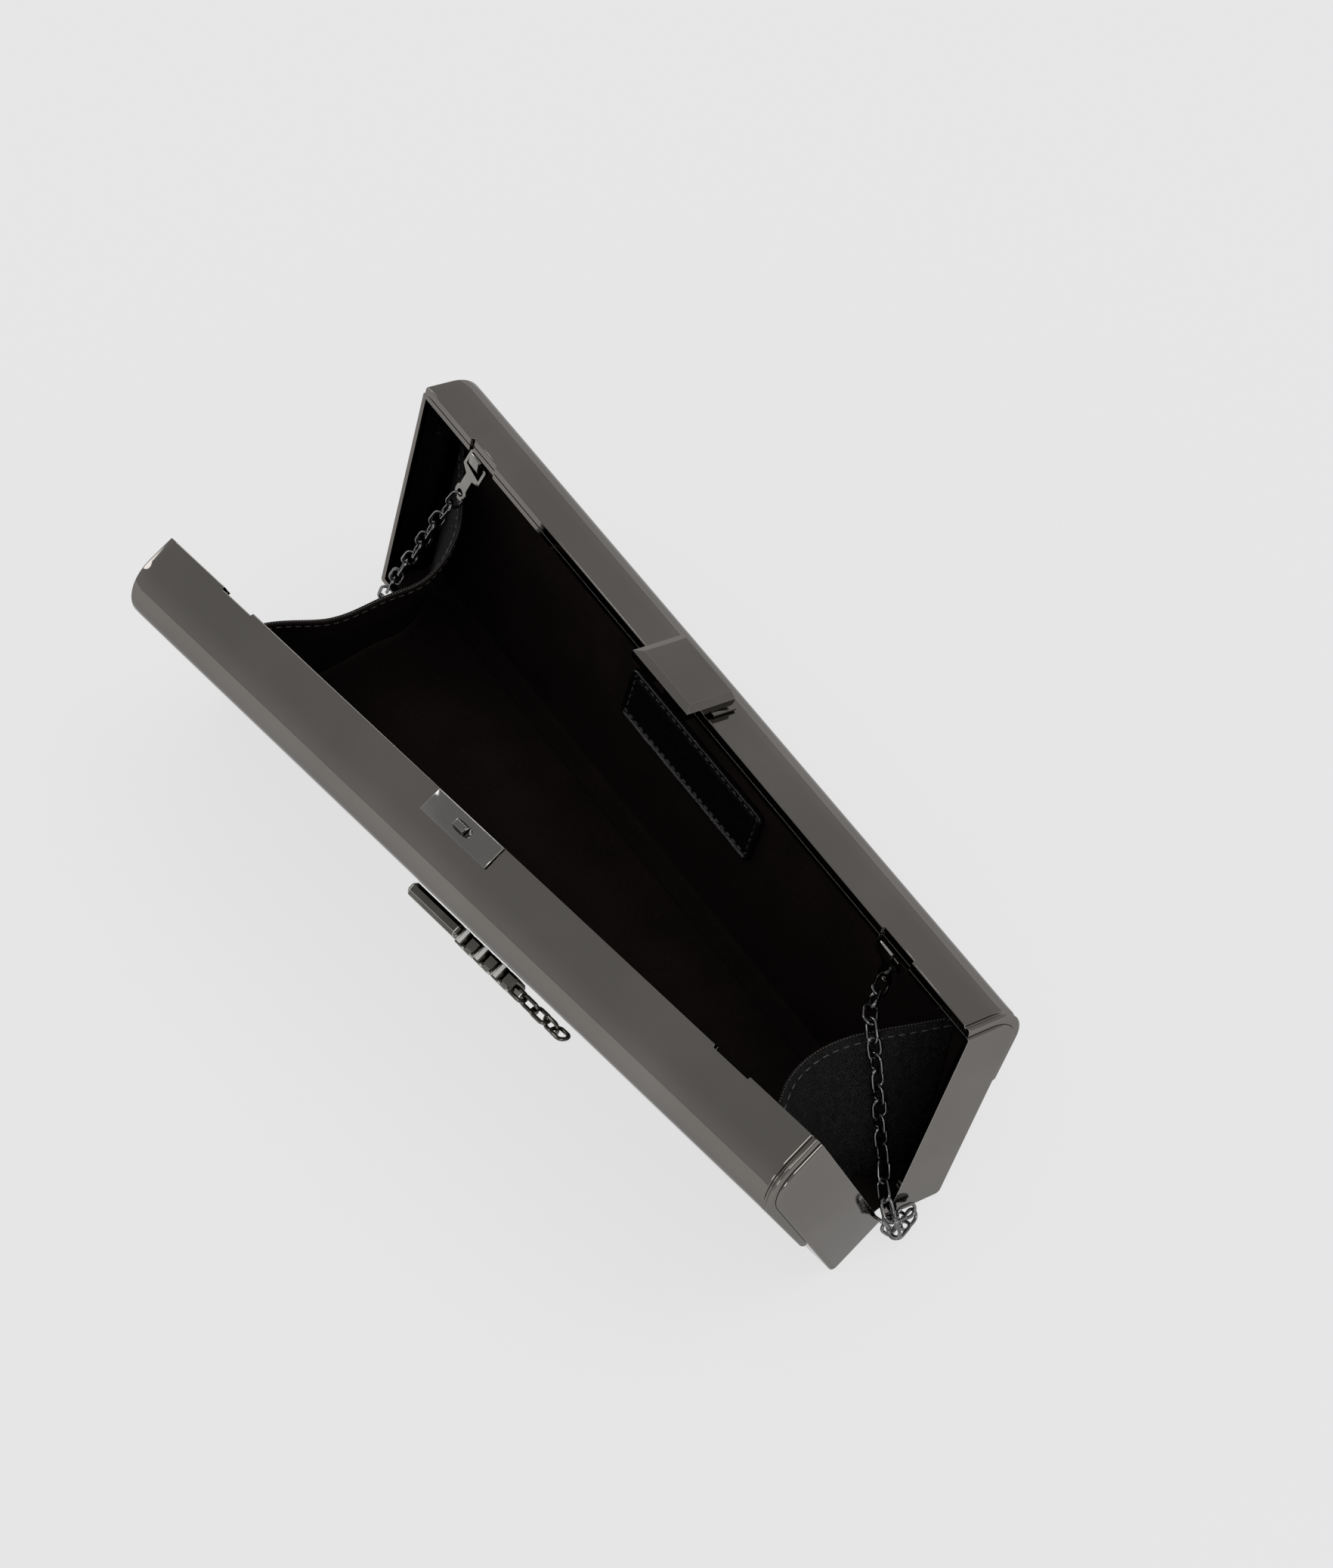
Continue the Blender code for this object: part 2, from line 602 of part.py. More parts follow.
def make_latch_base():
    outline = rectangle(-LATCH_BASE_LENGTH / 2, LATCH_BASE_LENGTH / 2, LATCH_BASE_FRONT_Y, LATCH_BASE_BACK_Y)
    centre = (0, 0, LATCH_BASE_TOP - LATCH_BASE_THICKNESS / 2)
    base = make_slab("latch_base", outline, LATCH_BASE_THICKNESS, FLAT, centre, gunmetal("latch_base"))
    ear = rounded_outline([
        (LATCH_PIN_Y - LATCH_EAR_RADIUS, LATCH_BASE_TOP - LATCH_BASE_THICKNESS / 2, 0),
        (LATCH_PIN_Y + LATCH_EAR_RADIUS, LATCH_BASE_TOP - LATCH_BASE_THICKNESS / 2, 0),
        (LATCH_PIN_Y + LATCH_EAR_RADIUS, LATCH_PIN_Z + LATCH_EAR_RADIUS, LATCH_EAR_RADIUS),
        (LATCH_PIN_Y - LATCH_EAR_RADIUS, LATCH_PIN_Z + LATCH_EAR_RADIUS, LATCH_EAR_RADIUS),
    ])
    for end in (LEFT, RIGHT):
        x = end * LATCH_EAR_X
        combine(base, make_slab(f"latch_ear_{end}", ear, LATCH_EAR_THICKNESS, ALONG_X, (x, 0, 0)), "UNION")
    hole_end = LATCH_PIN_LENGTH / 2
    combine(base, make_rod(
        "latch_ear_hole", LATCH_PIN_RADIUS + LATCH_EAR_HOLE_PLAY,
        (-hole_end, LATCH_PIN_Y, LATCH_PIN_Z), (hole_end, LATCH_PIN_Y, LATCH_PIN_Z),
    ))
    return base


def add_rivets(base, cover):
    for end, end_name in ((LEFT, "left"), (RIGHT, "right")):
        x = end * LATCH_RIVET_X
        bottom = (x, LATCH_RIVET_Y, COVER_TOP - LATCH_RIVET_SINK)
        top = (x, LATCH_RIVET_Y, LATCH_BASE_TOP)
        rivet = make_rod(f"latch_rivet_{end_name}", LATCH_RIVET_RADIUS, bottom, top, gunmetal("rivet"))
        carry(rivet, back_half)
        floor = (x, LATCH_RIVET_Y, COVER_TOP - LATCH_RIVET_SINK - GAP)
        sky = (x, LATCH_RIVET_Y, LATCH_BASE_TOP + OVERRUN)
        for shell in (base, cover):
            hole = make_rod(f"{shell.name}_rivet_hole_{end_name}", LATCH_RIVET_RADIUS + GAP, floor, sky)
            combine(shell, hole)


def make_latch_spring():
    """Torsion spring round the pin: one leg bears on the base, the other lies up against the tab."""
    half_width = SPRING_TURNS * SPRING_PITCH / 2
    steps = SPRING_TURNS * SPRING_TURN_STEPS
    low_leg = LATCH_BASE_TOP + GAP + SPRING_WIRE / 2
    points = [Vector((-half_width, LATCH_PIN_Y - SPRING_RADIUS, low_leg))]
    for step in range(steps + 1):
        angle = math.pi + 2 * math.pi * SPRING_TURNS * step / steps
        x = -half_width + 2 * half_width * step / steps
        y = LATCH_PIN_Y + SPRING_RADIUS * math.cos(angle)
        z = LATCH_PIN_Z - SPRING_RADIUS * math.sin(angle)
        points.append(Vector((x, y, z)))
    points.append(points[-1] + Vector((0, 0, SPRING_LEG)))
    spring = make_tube("latch_spring", points, SPRING_WIRE, chain_metal("spring"), resolution=1)
    carry(spring, back_half)


make_latch_tab()
latch_base = make_latch_base()
add_rivets(latch_base, shells["back_cover"])
carry(latch_base, back_half)
carry(shells["back_cover"], back_half)
pin_end = Vector((LATCH_PIN_LENGTH / 2, 0, 0))
pin_middle = Vector((0, LATCH_PIN_Y, LATCH_PIN_Z))
latch_pin = make_rod(
    "latch_pin", LATCH_PIN_RADIUS, pin_middle - pin_end, pin_middle + pin_end, gunmetal("latch_pin")
)
carry(latch_pin, back_half)
make_latch_spring()


# Catch: a plate on the front cover, held down by the stud that the tab closes over

def make_catch():
    low = COVER_TOP + GAP
    outline = rectangle(-CATCH_LENGTH / 2, CATCH_LENGTH / 2, -CATCH_FRONT_Y, -GAP)
    plate_centre = (0, 0, low + CATCH_THICKNESS / 2)
    plate = make_slab("catch_plate", outline, CATCH_THICKNESS, FLAT, plate_centre, gunmetal("catch_plate"))
    head_low = low + CATCH_THICKNESS + GAP
    head = [
        (-CATCH_STUD_WIDTH / 2, head_low),
        (CATCH_STUD_WIDTH / 2, head_low),
        (CATCH_STUD_WIDTH / 2 - CATCH_STUD_TAPER, head_low + CATCH_STUD_HEIGHT),
        (CATCH_STUD_TAPER - CATCH_STUD_WIDTH / 2, head_low + CATCH_STUD_HEIGHT),
    ]
    stud = make_slab(
        "catch_stud", head, CATCH_STUD_LENGTH, ALONG_X, (0, -CATCH_STUD_Y, 0), gunmetal("catch_stud")
    )
    shank_low = (0, -CATCH_STUD_Y, COVER_TOP - CATCH_SHANK_SINK)
    shank_high = (0, -CATCH_STUD_Y, head_low + CATCH_STUD_HEIGHT / 2)
    combine(stud, make_rod("catch_shank", CATCH_SHANK_RADIUS, shank_low, shank_high), "UNION")
    hole_low = (0, -CATCH_STUD_Y, COVER_TOP - CATCH_SHANK_SINK - GAP)
    hole_high = (0, -CATCH_STUD_Y, head_low + OVERRUN)
    for shell in (plate, shells["front_cover"]):
        hole = make_rod(f"{shell.name}_shank_hole", CATCH_SHANK_RADIUS + GAP, hole_low, hole_high)
        combine(shell, hole)
    for piece in (plate, stud, shells["front_cover"]):
        carry(piece, front_half)


make_catch()


# Strap fittings

LUG_LOOP_Z = TRAY_HEIGHT - TRAY_WALL - GAP - LUG_STRIP - LUG_LOOP_HEIGHT / 2


def clasp_outline():
    shoulder = -CLASP_HEIGHT - CLASP_SHOULDER
    eye_top = -CLASP_EYE_DROP + CLASP_EYE_RADIUS
    eye_bottom = -CLASP_EYE_DROP - CLASP_EYE_RADIUS
    right = [
        (CLASP_NECK / 2, shoulder, 0),
        (CLASP_WIDTH / 2, CLASP_BAR / 2 - CLASP_HEIGHT, CLASP_CORNER),
        (CLASP_WIDTH / 2, CLASP_BAR / 2, CLASP_CORNER),
    ]
    eye = [
        (CLASP_EYE_RADIUS, eye_bottom, CLASP_EYE_RADIUS),
        (CLASP_EYE_RADIUS, -CLASP_EYE_DROP + CLASP_EYE_RADIUS / 2, 0),
        (CLASP_NECK / 2, eye_top, 0),
    ]
    one_side = [*eye, *right]
    other_side = [(-u, v, radius) for u, v, radius in reversed(one_side)]
    return rounded_outline(one_side + other_side)


def make_strap_fitting(end, end_name, tilt_deg, swing_deg):
    """The lug is a strip folded back on itself, and the clasp's top bar runs through its loop."""
    x = end * NOTCH_X + STRAP_X_SHIFT
    low = LUG_LOOP_Z - LUG_LOOP_HEIGHT / 2 - LUG_STRIP
    high = LUG_LOOP_Z + LUG_LOOP_HEIGHT / 2 + LUG_STRIP
    front = LUG_LOOP_Y - LUG_LOOP_DEPTH / 2 - LUG_STRIP
    back = LUG_LOOP_Y + LUG_LOOP_DEPTH / 2 + LUG_STRIP
    strip = rounded_outline([
        (front, low, LUG_STRIP),
        (back, low, LUG_STRIP),
        (back, high - LUG_STRIP, 0),
        (LUG_REACH, high - LUG_STRIP, 0),
        (LUG_REACH, high, 0),
        (front, high, LUG_STRIP),
    ])
    loop = rectangle(
        LUG_LOOP_Y - LUG_LOOP_DEPTH / 2, LUG_LOOP_Y + LUG_LOOP_DEPTH / 2,
        LUG_LOOP_Z - LUG_LOOP_HEIGHT / 2, LUG_LOOP_Z + LUG_LOOP_HEIGHT / 2,
    )
    lug_name = f"strap_lug_{end_name}"
    lug = make_slab(lug_name, strip, LUG_WIDTH, ALONG_X, (x, 0, 0), gunmetal(lug_name), holes=[loop])
    carry(lug, back_half)
    pocket_size = (CLASP_WIDTH + 4 * GAP, 2 * (LUG_REACH + GAP), 2 * (LUG_STRIP + LINING_THICKNESS + GAP))
    pocket = make_block(f"lining_pocket_{end_name}", pocket_size, (x, 0, high))
    combine(shells["back_lining"], pocket)

    clasp_name = f"strap_clasp_{end_name}"
    pivot = make_pivot(f"{clasp_name}_pivot", (x, LUG_LOOP_Y, LUG_LOOP_Z), parent=back_half)
    window = rectangle(
        CLASP_BAR - CLASP_WIDTH / 2, CLASP_WIDTH / 2 - CLASP_BAR,
        CLASP_BAR + CLASP_BAR / 2 - CLASP_HEIGHT, -CLASP_BAR / 2,
    )
    eye_hole = rectangle(
        -CLASP_EYE_HOLE, CLASP_EYE_HOLE,
        -CLASP_EYE_DROP - CLASP_EYE_HOLE, -CLASP_EYE_DROP + CLASP_EYE_HOLE,
        CLASP_EYE_HOLE * NEARLY_ROUND_SHARE,
    )
    hang = Matrix.Rotation(math.radians(swing_deg), 4, "X") @ Matrix.Rotation(math.radians(tilt_deg), 4, "Y")
    clasp = make_slab(
        clasp_name, clasp_outline(), CLASP_THICKNESS, hang @ UPRIGHT, pivot["point"],
        gunmetal(clasp_name), holes=[window, eye_hole],
    )
    carry(clasp, pivot)
    return Vector(pivot["point"]) + hang @ Vector((0, 0, -CLASP_EYE_DROP - CLASP_EYE_RADIUS))


eye_left = make_strap_fitting(LEFT, "left", CLASP_LEFT_TILT_DEG, CLASP_LEFT_SWING_DEG)
eye_right = make_strap_fitting(RIGHT, "right", CLASP_RIGHT_TILT_DEG, CLASP_RIGHT_SWING_DEG)
carry(shells["back_lining"], back_half)


# Leather gusset. Its columns run from the front lining, over both mouths, to the back lining

def across(x, height, share):
    """A point of the open frame, at a share of the way from the front lining to the back lining."""
    reach = LINING_WALL_Y - GAP
    if share <= MOUTH_SHARE:
        return half_turn(FRONT) @ Vector((x, -reach * (1 - share / MOUTH_SHARE), height))
    if share >= 1 - MOUTH_SHARE:
        return half_turn(BACK) @ Vector((x, reach * (1 - (1 - share) / MOUTH_SHARE), height))
    front = half_turn(FRONT) @ Vector((x, 0, height))
    back = half_turn(BACK) @ Vector((x, 0, height))
    return front.lerp(back, (share - MOUTH_SHARE) / (1 - 2 * MOUTH_SHARE))


def along_shares(table, share):
    """Smooth value of a table of shares, whose columns are GUSSET_COLUMN_SHARES."""
    for start, end, low, high in zip(
        GUSSET_COLUMN_SHARES, GUSSET_COLUMN_SHARES[1:], table, table[1:]
    ):
        if share <= end:
            t = (share - start) / (end - start)
            return low + (high - low) * t * t * (3 - 2 * t)
    return table[-1]


def bottom_height(x, share):
    """Height of the bottom gusset's middle, which arches up between the trays."""
    flat = LINING_FLOOR_Z + GAP + LEATHER / 2
    span_share = (share - MOUTH_SHARE) / (1 - 2 * MOUTH_SHARE)
    if not 0 < span_share < 1:
        return flat
    width = (across(x, flat, MOUTH_SHARE) - across(x, flat, 1 - MOUTH_SHARE)).length
    return flat + GUSSET_ARCH_SHARE * width * math.sin(math.pi * span_share)


def make_sheet(name, rows):
    """A leather sheet whose middle surface runs through a grid of points."""
    edit = bmesh.new()
    grid = [[edit.verts.new(point) for point in row] for row in rows]
    for lower, upper in zip(grid, grid[1:]):
        for first, second, third, fourth in zip(lower, lower[1:], upper[1:], upper):
            edit.faces.new((first, second, third, fourth))
    mesh = bpy.data.meshes.new(name)
    edit.to_mesh(mesh)
    edit.free()
    mesh.shade_smooth()
    sheet = link_mesh(name, mesh, black_leather(name))
    leather = sheet.modifiers.new("leather", "SOLIDIFY")
    leather.thickness = LEATHER
    leather.offset = 0
    return carry(sheet, open_frame)


def make_end_gusset(name, end, inward, inward_shares, foot_share, top_shares):
    rows = []
    for row_index in range(GUSSET_ROWS + 1):
        up = row_index / GUSSET_ROWS
        row = []
        for column in range(GUSSET_COLUMNS + 1):
            share = column / GUSSET_COLUMNS
            fold = inward * along_shares(inward_shares, share)
            x = end * (TRAY_END - GUSSET_END_INSET - fold * (foot_share + (1 - foot_share) * up))
            low = bottom_height(x, share) + LEATHER + GAP
            high = TRAY_HEIGHT * along_shares(top_shares, share)
            row.append(across(x, low + (high - low) * up, share))
        rows.append(row)
    make_sheet(name, rows)


def make_bottom_gusset():
    flange_share = MOUTH_SHARE * (1 - GUSSET_BOTTOM_FLANGE / LINING_WALL_Y)
    rows = []
    for bay in range(GUSSET_BAYS + 1):
        x = (TRAY_END - GUSSET_BOTTOM_INSET) * (2 * bay / GUSSET_BAYS - 1)
        row = []
        for column in range(GUSSET_COLUMNS // 2 + 1):
            share = flange_share + (1 - 2 * flange_share) * column / (GUSSET_COLUMNS // 2)
            row.append(across(x, bottom_height(x, share), share))
        rows.append(row)
    make_sheet("gusset_bottom", rows)


make_end_gusset(
    "gusset_left", LEFT, GUSSET_LEFT_INWARD, LEFT_INWARD_SHARES, LEFT_FOOT_SHARE, LEFT_TOP_SHARES
)
make_end_gusset(
    "gusset_right", RIGHT, GUSSET_RIGHT_INWARD, RIGHT_INWARD_SHARES, RIGHT_FOOT_SHARE, RIGHT_TOP_SHARES
)
make_bottom_gusset()


# Ornament on the front cover

def faceted_block(name, length, depth, start_x):
    block = make_block(
        name, (length, depth, ORNAMENT_HEIGHT),
        (start_x + length / 2, -COVER_FACE - GAP - depth / 2, ORNAMENT_Z), gunmetal(name),
    )
    facet = block.modifiers.new("facet", "BEVEL")
    facet.width = ORNAMENT_FACET
    facet.segments = 1
    facet.limit_method = "WEIGHT"
    edge_weight = block.data.attributes.new("bevel_weight_edge", "FLOAT", "EDGE")
    front_y = min(vertex.co.y for vertex in block.data.vertices)
    for edge in block.data.edges:
        on_front = all(block.data.vertices[index].co.y < front_y + depth / 2 for index in edge.vertices)
        edge_weight.data[edge.index].value = float(on_front)
    carry(block, front_half)


def make_ornament():
    faceted_block("ornament_bar", ORNAMENT_BAR_LENGTH, ORNAMENT_BAR_DEPTH, ORNAMENT_START)
    x = ORNAMENT_START + ORNAMENT_BAR_LENGTH + ORNAMENT_SPACING
    for number in range(1, ORNAMENT_BLOCKS + 1):
        faceted_block(f"ornament_block_{number}", ORNAMENT_BLOCK_LENGTH, ORNAMENT_BLOCK_DEPTH, x)
        x += ORNAMENT_BLOCK_LENGTH + ORNAMENT_SPACING
    swag = []
    y = -COVER_FACE - GAP - ORNAMENT_CHAIN_WIDTH / 2
    count = round(ORNAMENT_SWAG_LENGTH / ORNAMENT_CHAIN_WIDTH)
    for index in range(count + 1):
        share = index / count
        sag = 4 * ORNAMENT_SWAG_SAG * share * (1 - share)
        swag.append((x + GAP + ORNAMENT_SWAG_LENGTH * share, y, ORNAMENT_Z - sag))
    carry(make_tube("ornament_swag", swag, ORNAMENT_CHAIN_WIDTH, chain_metal("ornament")), front_half)


make_ornament()


# Chain strap. The floor's height is z = 0 here, because the clutch stands on it

CHAIN_FLOOR_Z = CHAIN_WIDTH / 2 + FLOOR_CLEARANCE


def back_point(x, y, z):
    return STAND @ half_turn(BACK) @ Vector((x, y, z))


def open_point(x, y, z):
    return STAND @ Vector((x, y, z))


def on_floor(x, y):
    return Vector((x, y, CHAIN_FLOOR_Z))


foot_left = back_point(-TRAY_END, TRAY_DEPTH, 0)
foot_right = back_point(TRAY_END, TRAY_DEPTH, 0)
feet_spread = (foot_left.y - foot_right.y) / (foot_right.x - foot_left.x)

# How far inside a foot the tilted tray is high enough for a chain that lies on the floor
chain_height = CHAIN_FLOOR_Z + (CHAIN_WIDTH / 2 + GAP) / math.cos(HALF_ANGLE)
foot_to_chain = (chain_height - foot_right.z) / math.tan(HALF_ANGLE)

hank_left_x = -(TRAY_END - HANK_LEFT_INSET)
hank_right_side = (HANK_ROWS - 1) / 2 * (HANK_CHAIN_WIDTH + GAP)
hank_right_x = foot_right.x - (hank_right_side + foot_to_chain - foot_right.y) / feet_spread


def floored(points):
    """The same points, none lower than a chain that lies on the floor."""
    return [Vector((point.x, point.y, max(point.z, CHAIN_FLOOR_Z))) for point in points]


def room_under(x):
    """How far a chain under the clutch can lie from its middle at x."""
    return foot_right.y + (foot_right.x - x) * feet_spread - foot_to_chain


def hank_aside(end, row):
    """How far a row of the hank lies from the middle at one of its ends. The rows fan out to the left."""
    side = room_under(hank_left_x) if end == LEFT else hank_right_side
    return side * (1 - 2 * row / (HANK_ROWS - 1))


def hank_x(end):
    return hank_left_x if end == LEFT else hank_right_x


def hank_end(end, row):
    """Where a run of chain meets an end of the hank."""
    return on_floor(hank_x(end) + end * (GAP + CHAIN_WIDTH / 4), hank_aside(end, row))


def make_hank():
    z = HANK_CHAIN_WIDTH / 2 + FLOOR_CLEARANCE
    points = [Vector((hank_x(LEFT), hank_aside(LEFT, 0), z))]
    for row in range(HANK_ROWS - 1):
        end = RIGHT if row % 2 == 0 else LEFT
        start, stop = hank_aside(end, row), hank_aside(end, row + 1)
        for step in range(HANK_TURN_STEPS + 1):
            angle = math.pi * step / HANK_TURN_STEPS
            x = hank_x(end) + end * (start - stop) / 2 * math.sin(angle)
            y = (start + stop) / 2 + (start - stop) / 2 * math.cos(angle)
            points.append(Vector((x, y, z)))
    points.append(Vector((hank_x(RIGHT), hank_aside(RIGHT, HANK_ROWS - 1), z)))
    carry(make_tube("strap_chain_hank", points, HANK_CHAIN_WIDTH, chain_metal("hank")), floor_frame)


below_left_eye = Vector((0, 0, GAP + CHAIN_WIDTH / 8))
below_right_eye = Vector((0, 0, GAP + CHAIN_WIDTH / 2))


def hanging(end, frame_point, route):
    """Points of a route that hang in the clutch, given in the back half's frame or the open one."""
    return [frame_point(end * (TRAY_END - inset), y, share * TRAY_HEIGHT) for inset, y, share in route]


def lying(end, route):
    """Points of a route on the floor, most of them under the clutch."""
    places = [(end * (TRAY_END - inset), share) for inset, share in route]
    return [on_floor(x, share * room_under(x)) for x, share in places]


left_route = [
    back_point(*(eye_left - below_left_eye)),
    *hanging(LEFT, back_point, LEFT_HANGING),
    *lying(LEFT, LEFT_UNDER_SHARES),
    hank_end(LEFT, 0),
]
right_route = [
    back_point(*(eye_right - below_right_eye)),
    *hanging(RIGHT, open_point, RIGHT_OVER_GUSSET),
    *lying(RIGHT, RIGHT_UNDER_SHARES),
    hank_end(RIGHT, HANK_ROWS - 1),
]
make_hank()
for name, route in (("left", left_route), ("right", right_route)):
    points = floored(smooth_path(route, CHAIN_STEP))
    carry(make_tube(f"strap_chain_{name}", points, CHAIN_WIDTH, chain_metal("chain")), floor_frame)


# The origin is under the middle of the whole clutch, on the floor

def all_corners():
    bpy.context.view_layer.update()
    graph = bpy.context.evaluated_depsgraph_get()
    for obj in clutch.objects:
        if obj.type == "EMPTY":
            continue
        evaluated = obj.evaluated_get(graph)
        mesh = evaluated.to_mesh()
        for vertex in mesh.vertices:
            yield evaluated.matrix_world @ vertex.co
        evaluated.to_mesh_clear()


corners = list(all_corners())
lowest = Vector(min(corner[axis] for corner in corners) for axis in range(3))
highest = Vector(max(corner[axis] for corner in corners) for axis in range(3))
bottom_centre = Vector(((lowest.x + highest.x) / 2, (lowest.y + highest.y) / 2, lowest.z))
for root in (front_half, back_half, open_frame, floor_frame):
    root.matrix_world = Matrix.Translation(-bottom_centre) @ root.matrix_world
bpy.context.view_layer.update()
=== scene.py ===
import json
import math

import bmesh
import bpy
from mathutils import Matrix, Vector, noise


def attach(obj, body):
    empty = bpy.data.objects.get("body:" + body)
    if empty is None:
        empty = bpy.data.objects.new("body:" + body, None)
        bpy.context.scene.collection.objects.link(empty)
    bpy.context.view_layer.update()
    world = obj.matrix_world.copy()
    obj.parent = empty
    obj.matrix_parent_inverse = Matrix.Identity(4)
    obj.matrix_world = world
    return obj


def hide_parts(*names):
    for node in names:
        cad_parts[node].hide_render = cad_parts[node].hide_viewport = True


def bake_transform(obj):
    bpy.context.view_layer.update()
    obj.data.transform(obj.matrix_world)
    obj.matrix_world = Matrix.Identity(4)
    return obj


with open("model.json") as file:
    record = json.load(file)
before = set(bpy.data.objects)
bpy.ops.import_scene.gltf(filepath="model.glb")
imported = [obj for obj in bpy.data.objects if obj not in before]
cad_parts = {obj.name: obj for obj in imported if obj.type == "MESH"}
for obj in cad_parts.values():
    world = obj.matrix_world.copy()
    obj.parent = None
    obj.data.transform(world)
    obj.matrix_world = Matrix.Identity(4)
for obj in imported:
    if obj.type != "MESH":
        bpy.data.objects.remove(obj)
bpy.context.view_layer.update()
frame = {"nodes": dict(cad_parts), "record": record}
mm = 0.001
frontSide, backSide = -1, 1
leftEnd, rightEnd = -1, 1
print("frame loaded")


# Each half is drawn in the closed clutch's own frame: mating plane at y = 0, bottom at z = 0

hinge = {"slopeDeg": 13.97, "openDeg": 36.24, "x": 100.0 * mm, "z": -2.2 * mm}

joints = frame["record"]["behaviour"]["joints"]
openingJoint = next(joint for joint in joints if joint["name"] == "opening")
slope = math.radians(hinge["slopeDeg"])
hingeAxis = Vector((math.cos(slope), 0, math.sin(slope)))
hingePoint = Vector((hinge["x"], 0, hinge["z"]))
standingAxis = Vector(openingJoint["axis"])
levelling = Matrix.Rotation(slope - math.atan2(standingAxis.z, standingAxis.x), 4, "Y")
openFrame = Matrix.Translation(openingJoint["pos_m"]) @ levelling @ Matrix.Translation(-hingePoint)


def turnAboutHinge(side):
    turn = Matrix.Rotation(-side * math.radians(hinge["openDeg"]) / 2, 4, hingeAxis)
    return Matrix.Translation(hingePoint) @ turn @ Matrix.Translation(-hingePoint)


frontFrame = openFrame @ turnAboutHinge(frontSide)
backFrame = openFrame @ turnAboutHinge(backSide)
halfFrames = {"front": frontFrame, "back": backFrame}
sides = {"front": frontSide, "back": backSide}


# Mesh helpers

def roundedOutline(corners, steps):
    # corners are (u, v, radius); a corner of radius 0 stays square
    outline = []
    for index, (u, v, radius) in enumerate(corners):
        here = Vector((u, v))
        if radius == 0:
            outline.append(here)
            continue
        before = (Vector(corners[index - 1][:2]) - here).normalized()
        after = (Vector(corners[(index + 1) % len(corners)][:2]) - here).normalized()
        halfCorner = before.angle(after) / 2
        centre = here + (before + after).normalized() * radius / math.sin(halfCorner)
        start = here + before * radius / math.tan(halfCorner) - centre
        end = here + after * radius / math.tan(halfCorner) - centre
        swing = start.angle_signed(end)
        for step in range(steps + 1):
            outline.append(centre + Matrix.Rotation(-swing * step / steps, 2) @ start)
    return outline


def meshFrom(edit, name, place=None):
    if place:
        bmesh.ops.transform(edit, matrix=place, verts=edit.verts)
    bmesh.ops.recalc_face_normals(edit, faces=edit.faces)
    mesh = bpy.data.meshes.new(name)
    edit.to_mesh(mesh)
    edit.free()
    return mesh


def newObject(name, data):
    thing = bpy.data.objects.new(name, data)
    bpy.context.scene.collection.objects.link(thing)
    return thing


def newPiece(edit, name, place=None):
    return newObject(name, meshFrom(edit, name, place))


def loft(rings, closed=True, capped=True):
    # rings of the same number of points, joined one to the next
    edit = bmesh.new()
    made = [[edit.verts.new(point) for point in ring] for ring in rings]
    count = len(made[0])
    for near, far in zip(made, made[1:]):
        for index in range(count if closed else count - 1):
            following = (index + 1) % count
            edit.faces.new((near[index], near[following], far[following], far[index]))
    if capped:
        edit.faces.new(made[0])
        edit.faces.new(list(reversed(made[-1])))
    return edit


def block(size, centre):
    edit = bmesh.new()
    bmesh.ops.create_cube(edit, size=1.0)
    bmesh.ops.scale(edit, vec=size, verts=edit.verts)
    bmesh.ops.translate(edit, vec=centre, verts=edit.verts)
    return edit


def evaluatedMesh(thing):
    bpy.context.view_layer.update()
    graph = bpy.context.evaluated_depsgraph_get()
    return bpy.data.meshes.new_from_object(thing.evaluated_get(graph))


def settle(piece):
    # turns the modifiers' result into the piece's own plain mesh
    mesh = evaluatedMesh(piece)
    piece.modifiers.clear()
    piece.data = mesh


def cutAway(piece, tools):
    for edit in tools:
        tool = newPiece(edit, "tool")
        modifier = piece.modifiers.new("cut", "BOOLEAN")
        modifier.operation = "DIFFERENCE"
        modifier.solver = "EXACT"
        modifier.object = tool
        settle(piece)
        bpy.data.objects.remove(tool)


def addBevel(piece, width, angleDeg):
    bevel = piece.modifiers.new("edges", "BEVEL")
    bevel.width = width
    bevel.segments = 2
    bevel.limit_method = "ANGLE"
    bevel.angle_limit = math.radians(angleDeg)
    return bevel


def softenEdges(piece, width, angleDeg=38):
    # a second material on the piece, where it has one, goes on the softened edges; the bright edge metal there
    # is a painted highlight
    piece.data.shade_smooth()
    bevel = addBevel(piece, width, angleDeg)
    bevel.material = len(piece.data.materials) - 1
    bevel.harden_normals = True
    settle(piece)


def thicken(piece, thickness, edge):
    solid = piece.modifiers.new("thickness", "SOLIDIFY")
    solid.thickness = thickness
    solid.offset = 0
    solid.use_even_offset = True
    addBevel(piece, edge, 50)
    settle(piece)


def smoothBelow(piece, angleDeg):
    piece.data.shade_smooth()
    piece.data.set_sharp_from_angle(angle=math.radians(angleDeg))


def paint(piece, *materials):
    if piece.data.materials:
        piece.data.materials.clear()
    for material in materials:
        piece.data.materials.append(material)


def finishPiece(piece, material, body, nodes):
    if material:
        paint(piece, material)
    if body:
        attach(piece, body)
    if nodes:
        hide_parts(*nodes)


# Node helpers

def feed(tree, socket, value):
    # a value, or another node's output
    if isinstance(value, bpy.types.NodeSocket):
        tree.links.new(value, socket)
    else:
        socket.default_value = value


def addNode(tree, kind, inputs, **settings):
    node = tree.nodes.new(kind)
    for name, value in settings.items():
        setattr(node, name, value)
    for label, value in inputs.items():
        feed(tree, node.inputs[label], value)
    return node


def noiseNode(tree, vector, scale, detail):
    inputs = {"Vector": vector, "Scale": scale, "Detail": detail}
    return addNode(tree, "ShaderNodeTexNoise", inputs).outputs["Fac"]


